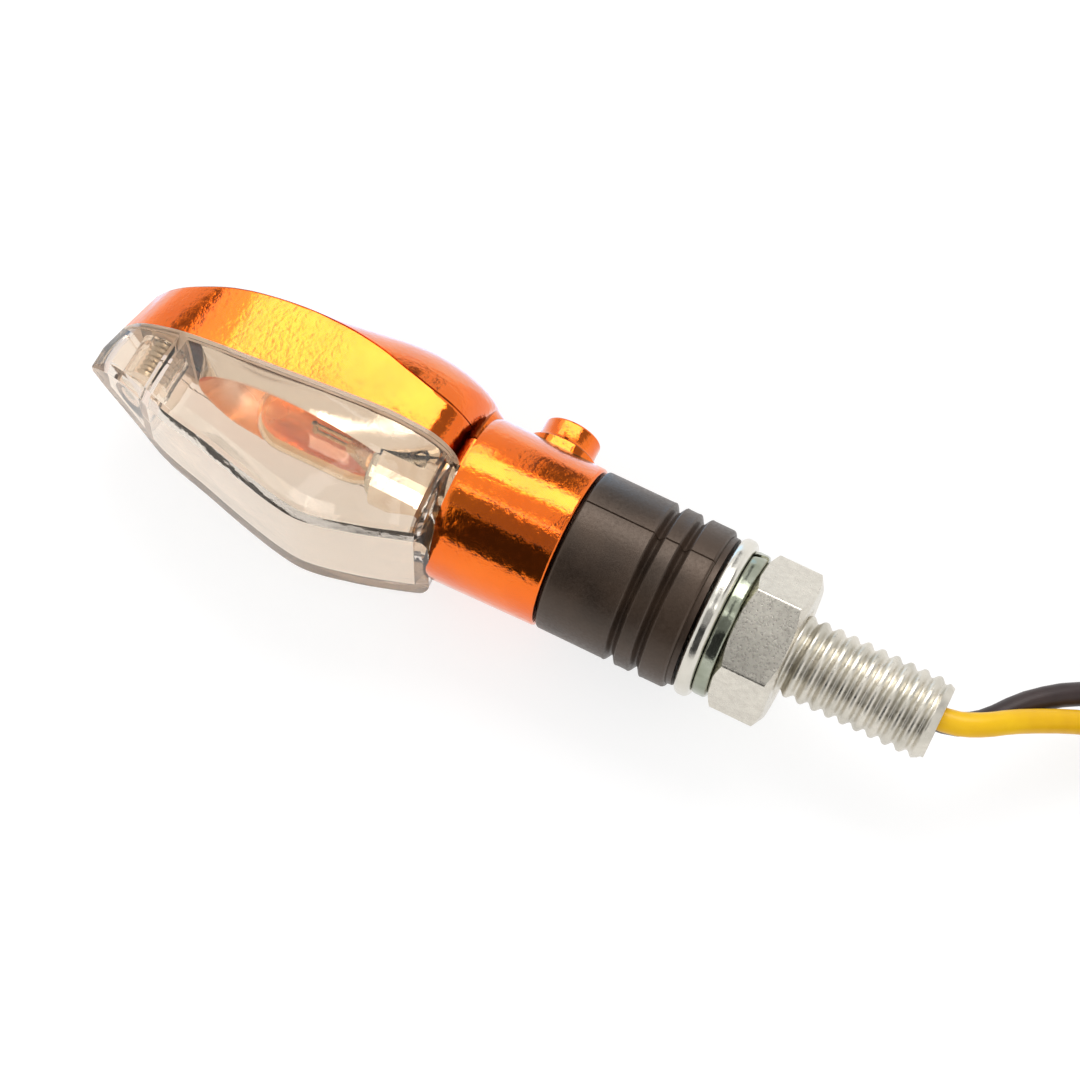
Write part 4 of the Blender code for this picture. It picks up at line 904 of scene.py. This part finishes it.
# %% Bulb
def glass_profile(offset):
    neck, wide = 3.6 * MM - offset, 4.4 * MM - offset
    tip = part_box("bulb_glass")[0].x + offset
    turn = [math.radians(90 * k / 14) for k in range(15)]
    return [
        (cap_low - 0.3 * MM, neck), (cap_low - 0.9 * MM, neck + 0.2 * MM),
        (cap_low - 1.5 * MM, wide - 0.25 * MM), (cap_low - 3 * MM, wide),
        *((tip + wide * (1 - math.sin(angle)), wide * math.cos(angle)) for angle in turn),
    ]


amber = finish(
    "amber_glass", ((1.0, 0.80, 0.56), (0.98, 0.72, 0.46)), 200.0, 120.0, (0.00003, 0.3),
    Transmission_Weight=1.0, IOR=1.5, Roughness=0.02,
)
envelope = turned_mesh(glass_profile(0.0) + list(reversed(glass_profile(0.5 * MM))), closed=True)
bulb = piece("bulb_envelope", envelope, amber, "head", ("bulb_glass",))
print("bulb: {} faces".format(len(bulb.data.polygons)))

# %% [markdown]
# ## Rubber stem
#
# One moulded rubber piece bends when something knocks the lamp. It is made as two skins that meet in the
# middle of the bend. The two grooves, the raised rib between them and the mould's parting line are turned
# into the skin.

# %% Skin of the rubber
STEM_RADIUS = 10.1 * MM
STEM_BORE = 3.6 * MM
MOULD_LINE = math.radians(13)
MOULD_LINE_DEPTH, MOULD_LINE_WIDTH = 0.16 * MM, 0.12 * MM
GROOVE_HALF_WIDTH, GROOVE_DEPTH = 1.05, 0.9 * MM


def skin_mesh(profile):
    """Spins a closed (x, radius, share) profile about X, where share says how deep the mould line cuts."""
    fine = [MOULD_LINE + k * 0.06 * MM / STEM_RADIUS for k in range(-4, 5)]
    coarse = [MOULD_LINE + math.tau * k / 128 for k in range(1, 128)]
    bm = bmesh.new()
    rings = []
    for angle in fine + coarse:
        away = abs((angle - MOULD_LINE + math.pi) % math.tau - math.pi) * STEM_RADIUS
        cut = MOULD_LINE_DEPTH * max(0.0, 1 - away / MOULD_LINE_WIDTH)
        radii = [(x, r - cut * share) for x, r, share in profile]
        rings.append(verts(bm, ((x, r * math.sin(angle), r * math.cos(angle)) for x, r in radii)))
    for first, second in zip(rings, rings[1:] + rings[:1]):
        join(bm, first, second)
    return bm


def groove_profile(at):
    """A groove with soft shoulders that stand a little proud."""
    points = []
    for s in (-1 + 2 * k / 16 for k in range(17)):
        dip = math.exp(-(abs(s * GROOVE_HALF_WIDTH / 0.48) ** 2.1))
        shoulder = 0.10 * MM * math.exp(-((abs(s) - 0.72) / 0.18) ** 2)
        points.append((at + s * GROOVE_HALF_WIDTH * MM, STEM_RADIUS + shoulder - GROOVE_DEPTH * dip))
    return points


def lined(points, share):
    """The same points with the share of the mould line that each takes."""
    return [(x, r, share) for x, r in points]


rubber = finish(
    "rubber", ((0.038, 0.023, 0.015), (0.015, 0.009, 0.006)), 2600.0, 140.0, (0.00004, 0.5), (0.32, 0.46),
    Roughness=0.38, Specular_IOR_Level=0.62, Specular_Tint=(1.0, 0.80, 0.66),
)
print("finish of the stem:", rubber.name)

# %% Rubber stem
BEND_X = -9.3 * MM
GROOVES = (-7.8 * MM, -4.6 * MM)
FLANGE_SEAT_RADIUS, STUD_SEAT_RADIUS, PLUG_RADIUS = 7.8 * MM, 5.3 * MM, 8.1 * MM
plug_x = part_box("rubber_stem")[0].x
insert_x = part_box("stem_insert")[1].x
shoulder_x = COLLAR_END_X + GAP
edge = 0.4 * MM
stud_side = lined([
    (BEND_X, STEM_RADIUS), *groove_profile(GROOVES[0]), *groove_profile(GROOVES[1]),
    *arc((-1.2 * MM, STEM_RADIUS - 0.5 * MM), 0.5 * MM, 90, 0, 6),
], 1.0) + lined([
    (-0.7 * MM, STEM_RADIUS - 0.65 * MM), (0.0, STEM_RADIUS - 0.7 * MM), (0.0, STUD_SEAT_RADIUS),
    (-2.9 * MM, STUD_SEAT_RADIUS), (-2.9 * MM, FLANGE_SEAT_RADIUS), (-5.5 * MM, FLANGE_SEAT_RADIUS),
    (-5.5 * MM, STEM_BORE), (BEND_X, STEM_BORE),
], 0.0)
head_side = lined([
    (plug_x, PLUG_RADIUS - edge), (plug_x + edge, PLUG_RADIUS), (shoulder_x, PLUG_RADIUS),
    (shoulder_x, STEM_RADIUS - 0.5 * MM),
], 0.0) + lined([
    *arc((shoulder_x + edge, STEM_RADIUS - edge), edge, 180, 90, 6),
    *((shoulder_x + edge + (BEND_X - shoulder_x - edge) * k / 8, STEM_RADIUS) for k in range(1, 9)),
], 1.0) + lined([
    (BEND_X, STEM_BORE), (insert_x + GAP, STEM_BORE), (insert_x + GAP, NECK_BORE), (plug_x, NECK_BORE),
], 0.0)
stem_end = piece("rubber_stem_end", skin_mesh(stud_side), rubber, None, ("rubber_stem",), 40)
stem_start = piece("rubber_stem_start", skin_mesh(head_side), rubber, None, ("rubber_stem",), 40)
drill(stem_start, "clamp_hole", CLAMP_HOLE, 5.0 * MM, 9.5 * MM, BOSS_X, 32)
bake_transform(stem_end)
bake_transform(stem_start)
print("rubber: {} and {} faces".format(len(stem_end.data.polygons), len(stem_start.data.polygons)))

# %% [markdown]
# ## Leads inside the stem
#
# Each lead runs through both metal bores and the rubber between them. It is made as two straight tubes
# that meet at the middle of the bend.

# %% Leads inside the stem
LEAD_STEP = 0.3 * MM


def inner_lead(colour, part, x_from, x_to):
    name = "inner_lead_" + colour
    low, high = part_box(name)
    radius = (high.y - low.y) / 2
    steps = math.ceil((x_to - x_from) / LEAD_STEP)
    side = [(x_from + (x_to - x_from) * k / steps, radius) for k in range(steps + 1)]
    tube = turned_mesh([(x_from, 0.0), *side, (x_to, 0.0)], 32, centre=(0, 0, (low.z + high.z) / 2))
    return piece(name + part, tube, vinyl[colour], None, (name,), 40)


for colour in vinyl:
    low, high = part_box("inner_lead_" + colour)
    at_stud = inner_lead(colour, "_stud_side", BEND_X, high.x)
    at_head = inner_lead(colour, "_head_side", low.x, BEND_X)
    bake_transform(at_stud)
    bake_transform(at_head)
    print("{} lead in the stem: x {:.1f} to {:.1f} mm".format(colour, low.x / MM, high.x / MM))

# %% [markdown]
# ## Zinc and steel
#
# The stud, the nut and the washers are zinc plated, each from a bath of its own, and the spring washer is
# dark. One grey metal would make them look alike. So one recipe gives cloudy colour, uneven gloss and a
# tooled grain, and each piece takes it with its own tints and sizes.

# %% Metals
def metal(name, tint, dark, roughness=0.24, grains=1800.0, patches=260.0):
    """Plated or bare metal with soft cloudy gloss and a fine tooled grain."""
    gloss = (roughness * 0.7, roughness * 1.4)
    return finish(
        name, (tint, dark), grains, patches, (0.00005, 0.45), gloss, Metallic=1.0, Roughness=roughness
    )


zinc = metal("zinc_plate", (0.68, 0.64, 0.56), (0.54, 0.51, 0.44), 0.34)
bright = metal("bright_zinc", (0.74, 0.71, 0.64), (0.64, 0.61, 0.54), 0.20, 1200.0)
spangled = metal("spangled_zinc", (0.70, 0.66, 0.58), (0.62, 0.58, 0.51), 0.30, 3600.0, 1100.0)
dark_steel = metal("dark_spring_steel", (0.40, 0.42, 0.34), (0.27, 0.29, 0.22), 0.16, 1500.0)
print("metals:", [made.name for made in (zinc, bright, spangled, dark_steel)])

# %% [markdown]
# ## Threaded stud
#
# A rolled thread has round crests and a real lead. A bump would leave the outline smooth. So the thread is
# a true helix: rows of points follow the pitch, and each row has its place on the rounded profile, so that
# the crests stay clean at any size. The rows are held between the stud's two ends.

# %% Threaded stud
THREAD_PITCH = 1.8 * MM
THREAD_DEPTH = 0.62 * MM
THREAD_FROM = 0.4 * MM
RUN_IN, RUN_OUT = 1.2, 1.3
AROUND, ROWS = 96, 14
FLANGE_RADIUS, FLANGE_FACE_RADIUS = 7.5 * MM, 7.2 * MM


def helix_row(k):
    """One turn along the helix at one place of the rounded profile, with the thread run out at both ends."""
    wave = 0.5 + 0.5 * math.cos(math.tau * (k / ROWS))
    points = []
    for i in range(AROUND):
        x = THREAD_FROM + THREAD_PITCH * (k / ROWS + i / AROUND)
        r = STUD_RADIUS - THREAD_DEPTH * (1 - wave) ** 1.3
        r = min(r, STUD_RADIUS - THREAD_DEPTH + held((STUD_END_X - x) / MM / RUN_OUT) * THREAD_DEPTH)
        r = max(r, STUD_RADIUS - THREAD_DEPTH * held((x - THREAD_FROM) / MM / RUN_IN))
        x = min(max(x, THREAD_FROM), STUD_END_X)
        angle = math.tau * i / AROUND
        points.append((x, r * math.sin(angle), r * math.cos(angle)))
    return points


def circle(x, r):
    turn = [math.tau * i / AROUND for i in range(AROUND)]
    return [(x, r * math.sin(angle), r * math.cos(angle)) for angle in turn]


def stud_mesh():
    bm = bmesh.new()
    turns = math.ceil((STUD_END_X - THREAD_FROM) / THREAD_PITCH) + 1
    grid = [verts(bm, helix_row(k)) for k in range(-ROWS, turns * ROWS + 1)]
    for a, b in zip(range(len(grid)), range(1, len(grid))):
        for i in range(AROUND - 1):
            bm.faces.new((grid[a][i], grid[a][i + 1], grid[b][i + 1], grid[b][i]))
        if b + ROWS < len(grid):
            bm.faces.new((grid[a][-1], grid[a + ROWS][0], grid[b + ROWS][0], grid[b][-1]))
    outline = [verts(bm, circle(x, r)) for x, r in (
        (STUD_END_X, STUD_RADIUS - THREAD_DEPTH), (STUD_END_X, STUD_BORE_RADIUS + 0.25 * MM),
        (STUD_END_X - 0.25 * MM, STUD_BORE_RADIUS), (STUD_START_X, STUD_BORE_RADIUS),
        (STUD_START_X, FLANGE_FACE_RADIUS), (STUD_START_X + 0.3 * MM, FLANGE_RADIUS),
        (-3.5 * MM, FLANGE_RADIUS), (-3.2 * MM, FLANGE_FACE_RADIUS), (-3.2 * MM, STUD_RADIUS),
        (THREAD_FROM, STUD_RADIUS),
    )]
    for first, second in zip(outline, outline[1:]):
        join(bm, first, second)
    return bm


stud = piece("threaded_stud", stud_mesh(), zinc, "stud", ("stud",), 50)
print("stud: {} faces".format(len(stud.data.polygons)))

# %% [markdown]
# ## Washers
#
# A flat washer with rolled edges, and a split spring washer. Both are turned. The spring washer could be a
# closed ring, but then it would not read as a spring, so a slanted slot is cut through it.

# %% Washers
WASHER_BORE = 5.3 * MM
FLAT_RADIUS, ROLLED = 10.0 * MM, 0.85 * MM
flat_low, lock_low, nut_low = (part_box(node)[0].x for node in ("flat_washer", "spring_washer", "hex_nut"))
flat_high, lock_high = lock_low - 0.05 * MM, nut_low - 0.05 * MM
piece("flat_washer_skin", turned_mesh([
    (flat_low, WASHER_BORE), (flat_low, FLAT_RADIUS - ROLLED),
    *reversed(arc((flat_low + ROLLED, FLAT_RADIUS - ROLLED), ROLLED, 90, 180, 8)),
    *arc((flat_high - ROLLED, FLAT_RADIUS - ROLLED), ROLLED, 90, 0, 8), (flat_high, WASHER_BORE),
], 128, closed=True), bright, "washers", ("flat_washer",))
lock = piece("spring_washer_skin", turned_mesh([
    (lock_low, WASHER_BORE), (lock_low, 8.75 * MM), (lock_low + 0.1 * MM, 9.0 * MM),
    (lock_low + 0.35 * MM, 9.1 * MM), (lock_high - 0.35 * MM, 9.1 * MM), (lock_high - 0.1 * MM, 9.0 * MM),
    (lock_high, 8.75 * MM), (lock_high, WASHER_BORE),
], 128, closed=True), dark_steel, "washers", ("spring_washer",))
split_place = (
    Matrix.Rotation(math.radians(-50), 4, "X")
    @ Matrix.Translation(((lock_low + lock_high) / 2, 0, 6.95 * MM))
    @ Matrix.Rotation(math.radians(35), 4, "Z")
)
carve(lock, block_mesh(split_place, (6 * MM, 0.9 * MM, 6.3 * MM)), "split")
lock.data.set_sharp_from_angle(angle=math.radians(35))
print("washers: {:.1f} and {:.1f} mm thick".format((flat_high - flat_low) / MM, (lock_high - lock_low) / MM))

# %% [markdown]
# ## Nut
#
# A nut is cut from hexagonal bar, and a lathe leaves curved chamfer lines on its flats. Those curves would
# be hard to draw. They come by themselves when the bar is met with a double cone, as on the lathe.

# %% Nut
NUT_FLATS = 17.0 * MM
NUT_TURN = 21.0
NUT_BORE, NUT_MOUTH = 5.2 * MM, 5.7 * MM
nut_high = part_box("hex_nut")[1].x
flat, corner = NUT_FLATS / 2, NUT_FLATS / math.sqrt(3)
turn = [math.radians(60 * k + NUT_TURN) for k in range(6)]
hexagon = [(nut_low, corner * math.cos(angle), corner * math.sin(angle)) for angle in turn]
bar = prism_mesh(hexagon, (nut_high - nut_low, 0, 0))
nut = piece("hex_nut_skin", bar, spangled, "nut", ("hex_nut",))
ease(nut, 0.22 * MM)
widest = flat + (nut_high - nut_low) / 2 / math.tan(math.radians(30))
carve(nut, turned_mesh([
    (nut_low, 0.0), (nut_low, flat - 0.2 * MM), (nut_low + 0.1 * MM, flat),
    ((nut_low + nut_high) / 2, widest),
    (nut_high - 0.1 * MM, flat), (nut_high, flat - 0.2 * MM), (nut_high, 0.0),
], 144), "cones", "INTERSECT")
carve(nut, turned_mesh([
    (nut_low - 1 * MM, 0.0), (nut_low - 1 * MM, 6.3 * MM), (nut_low, NUT_MOUTH),
    (nut_low + 0.5 * MM, NUT_BORE), (nut_high - 0.5 * MM, NUT_BORE),
    (nut_high, NUT_MOUTH), (nut_high + 1 * MM, 6.3 * MM), (nut_high + 1 * MM, 0.0),
]), "bore")
nut.data.set_sharp_from_angle(angle=math.radians(28))
print("nut: {} faces".format(len(nut.data.polygons)))

# %% [markdown]
# ## Screws
#
# One screw holds the lens and one clamps the stem. Both are small and mostly hidden, so a helix would be
# wasted on them: they are turned with a domed head and a thread of rings, and a cross is cut in the head.

# %% Screws
RIB_STEP, RIB_DEPTH = 0.35, 0.28 * MM
DRIVE_SIZE = (2.6 * MM, 1.5 * MM, 0.6 * MM)
DRIVE_TURNS = (20, 110)


def screw_mesh(seat, reach, radius, head_radius, x):
    """A screw along Y: a domed head above the seat, and a ribbed shank below it."""
    turn = [math.radians(90 * k / 8) for k in range(8)]
    dome = [
        (seat + SCREW_HEAD_HEIGHT * (0.55 + 0.45 * math.sin(a)), head_radius * math.cos(a) ** 0.8)
        for a in turn
    ]
    count = int((seat - reach) / (RIB_STEP * MM)) - 2
    shank = [
        (reach + 0.5 * MM + k * RIB_STEP * MM, radius - (RIB_DEPTH if k % 2 else 0.0)) for k in range(count)
    ]
    profile = [(reach, 0.0), (reach, radius - 0.5 * MM), *shank, (seat, radius), (seat, head_radius), *dome]
    return turned_mesh([*profile, (seat + SCREW_HEAD_HEIGHT, 0.0)], 48, (0, 1, 0), (x, 0, 0))


for node, radius, head_radius, x in (
    ("lens_screw", 1.4 * MM, 2.3 * MM, LENS_SCREW_X), ("clamp_screw", 2.0 * MM, 2.45 * MM, BOSS_X),
):
    low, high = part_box(node)
    shape = screw_mesh(high.y - SCREW_HEAD_HEIGHT, low.y, radius, head_radius, x)
    screw = piece(node + "_dressed", shape, zinc, "head", (node,), 35)
    for turn in DRIVE_TURNS:
        place = Matrix.Translation((x, high.y, 0)) @ Matrix.Rotation(math.radians(turn), 4, "Y")
        carve(screw, block_mesh(place, DRIVE_SIZE), "drive")
    screw.data.set_sharp_from_angle(angle=math.radians(35))
    print("{}: {:.1f} mm long".format(screw.name, (high.y - low.y) / MM))

# %% [markdown]
# ## Finishes of the pieces that keep their solids
#
# The bulb holder's parts, the seal, the sleeve in the stem and the bullets are right as solids. They could
# be made again, but a finish each is all that they need. Solids that a skin stands for are hidden and
# passed over.

# %% Finishes
finishes = {
    "seal_rubber": finish("seal_rubber", ((0.50, 0.34, 0.22), (0.40, 0.26, 0.17)), Roughness=0.6),
    "insulating_board": finish("insulating_board", ((0.25, 0.12, 0.05), (0.18, 0.08, 0.04)), Roughness=0.55),
    "steel_wire": metal("steel_wire", (0.62, 0.60, 0.58), (0.50, 0.48, 0.46), 0.22),
    "brass": metal("brass", (0.80, 0.56, 0.22), (0.66, 0.44, 0.16), 0.25),
    "nickelled_brass": metal("nickelled_brass", (0.66, 0.60, 0.50), (0.58, 0.52, 0.42), 0.25),
    "bulb_socket": metal("socket_plate", (0.84, 0.74, 0.62), (0.76, 0.64, 0.52), 0.12, 500.0),
    "zinc_plate": zinc,
}
for part in frame["record"]["subparts"]:
    node = nodes[part["node"]]
    if node.hide_render:
        continue
    for slot in node.material_slots:
        slot.material = finishes.get(part["node"], finishes[part["material_slot"]])
    print("{}: {}".format(part["node"], part["material_slot"]))

# %% [markdown]
# ## Floor and background
#
# The lamp lies on a white sweep. A floor lit hard enough to vanish would flood the lamp with light. So the
# floor and the background glow by themselves: fully where the camera, metal or glass looks at them, and
# less as light.

# %% Floor and background
def glow(tree, socket, as_light, when_seen):
    """One strength as light on the lamp, and another where the camera, metal or glass looks."""
    rays = add(tree, "ShaderNodeLightPath").outputs
    seen = rays["Is Camera Ray"]
    for kind in ("Is Glossy Ray", "Is Transmission Ray"):
        seen = add(tree, "ShaderNodeMath", {0: seen, 1: rays[kind]}, operation="MAXIMUM").outputs[0]
    tree.links.new(mapped(tree, seen, 0.0, 1.0, as_light, when_seen), socket)


floor_material, tree, shader = new_material(
    "floor", Base_Color=(0.38, 0.38, 0.38), Roughness=1.0, Specular_IOR_Level=0.0,
    Emission_Color=(1.0, 1.0, 1.0),
)
glow(tree, shader.inputs["Emission Strength"], 0.42, 0.70)
sheet = bmesh.new()
bmesh.ops.create_grid(sheet, x_segments=8, y_segments=8, size=1.5)
floor = piece("floor", sheet, floor_material, None)
floor.location = (0.0, 0.0, FLOOR_Z - 0.05 * MM)
world = bpy.data.worlds.new("studio")
world.use_nodes = True
background = world.node_tree.nodes["Background"].inputs
background["Color"].default_value = (1.0, 1.0, 1.0, 1.0)
glow(world.node_tree, background["Strength"], 0.70, 1.0)
bpy.context.scene.world = world
print("floor at z {:.2f} mm".format(floor.location.z / MM))

# %% [markdown]
# ## Cards
#
# Polished metal shows what stands round it. An empty studio would leave the chrome plain, so bright and
# dark cards are bent round the lamp's own axis until its curves read. Only reflections see them, except for
# one that only shows through glass, like a window beyond the lens.

# %% Cards
def bent(first, last, radius):
    """(y, z) points of an arc about the lamp's axis, with angles from +Z towards +Y."""
    turn = [math.radians(first + (last - first) * k / 12) for k in range(13)]
    return [(radius * math.sin(angle), radius * math.cos(angle)) for angle in turn]


def card(name, line, x_from, x_to, brightness, tint=(1.0, 1.0, 1.0), through_glass=False):
    """A glowing strip along X through a line of (y, z) points, seen in reflections or only through glass."""
    material, _, _ = new_material(
        name, Base_Color=(0.0, 0.0, 0.0), Roughness=1.0, Specular_IOR_Level=0.0,
        Emission_Color=tint, Emission_Strength=brightness,
    )
    bm = bmesh.new()
    rows = [verts(bm, ((x, y, z) for x in (x_from, x_to))) for y, z in line]
    for low, high in zip(rows, rows[1:]):
        bm.faces.new((low[0], low[1], high[1], high[0]))
    made = piece(name, bm, material, None)
    made.visible_camera = made.visible_diffuse = made.visible_shadow = False
    made.visible_glossy = not through_glass
    made.visible_transmission = through_glass


BENT_CARDS = (
    ("card_brown", 48, 86, -0.148, -0.05, 0.60, 0.22),
    ("card_soft", 43, 47, -0.135, 0.25, 0.60, 2.6),
    ("card_soft_side", 43, 58, -0.50, -0.25, 0.60, 3.4),
    ("card_soft_tip", 18, 58, -0.76, -0.50, 0.60, 2.0),
    ("card_bright", 19.5, 43, -0.50, 0.25, 0.60, 5.0),
    ("card_corner", 10, 60, 0.25, 0.75, 0.60, 0.35),
    ("card_line", -11, -7.5, -0.45, 0.40, 0.62, 3.4),
    ("card_middle", -36, -14, -0.45, 0.40, 0.62, 0.35),
    ("card_dark", -84, -37, -0.35, 0.30, 0.62, 0.05),
    ("card_dark_tip", 10, 60, -1.05, -0.78, 0.60, 0.25),
    ("card_nut", -12, 14, -0.016, 0.003, 0.11, 0.20),
)
for name, first, last, x_from, x_to, radius, brightness in BENT_CARDS:
    card(name, bent(first, last, radius), x_from, x_to, brightness)
on_floor = [(y, FLOOR_Z + 0.1 * MM) for y in (0.014, 0.25)]
card("card_cool", on_floor, -0.14, -0.022, 1.0, (1.05, 1.45, 1.9))
card("card_window", bent(-112, -48, 0.60), -0.170, -0.02, 6.5, through_glass=True)
print("cards:", len(BENT_CARDS) + 2)

# %% [markdown]
# ## Lamps
#
# The glowing surroundings light every side alike. Small hard lamps would add sharp shadows, so two big soft
# ones, behind and in front, add the little shape that is missing. Reflections don't see them.

# %% Lamps
LIT_PLACE = Vector((-0.02, 0.0, 0.0))
for name, place, size, power in (
    ("key", (-0.10, 0.55, 0.75), (0.7, 0.5), 3.2), ("fill", (0.15, -0.65, 0.60), (0.8, 0.5), 1.4),
):
    light = bpy.data.lights.new(name, "AREA")
    light.shape = "RECTANGLE"
    light.size, light.size_y = size
    light.energy = power
    lamp = put(name, light)
    lamp.matrix_world = aim(Vector(place), LIT_PLACE)
    lamp.visible_glossy = False
    print("lamp: {}, {} W".format(name, power))
bpy.context.scene.view_settings.view_transform = "Standard"
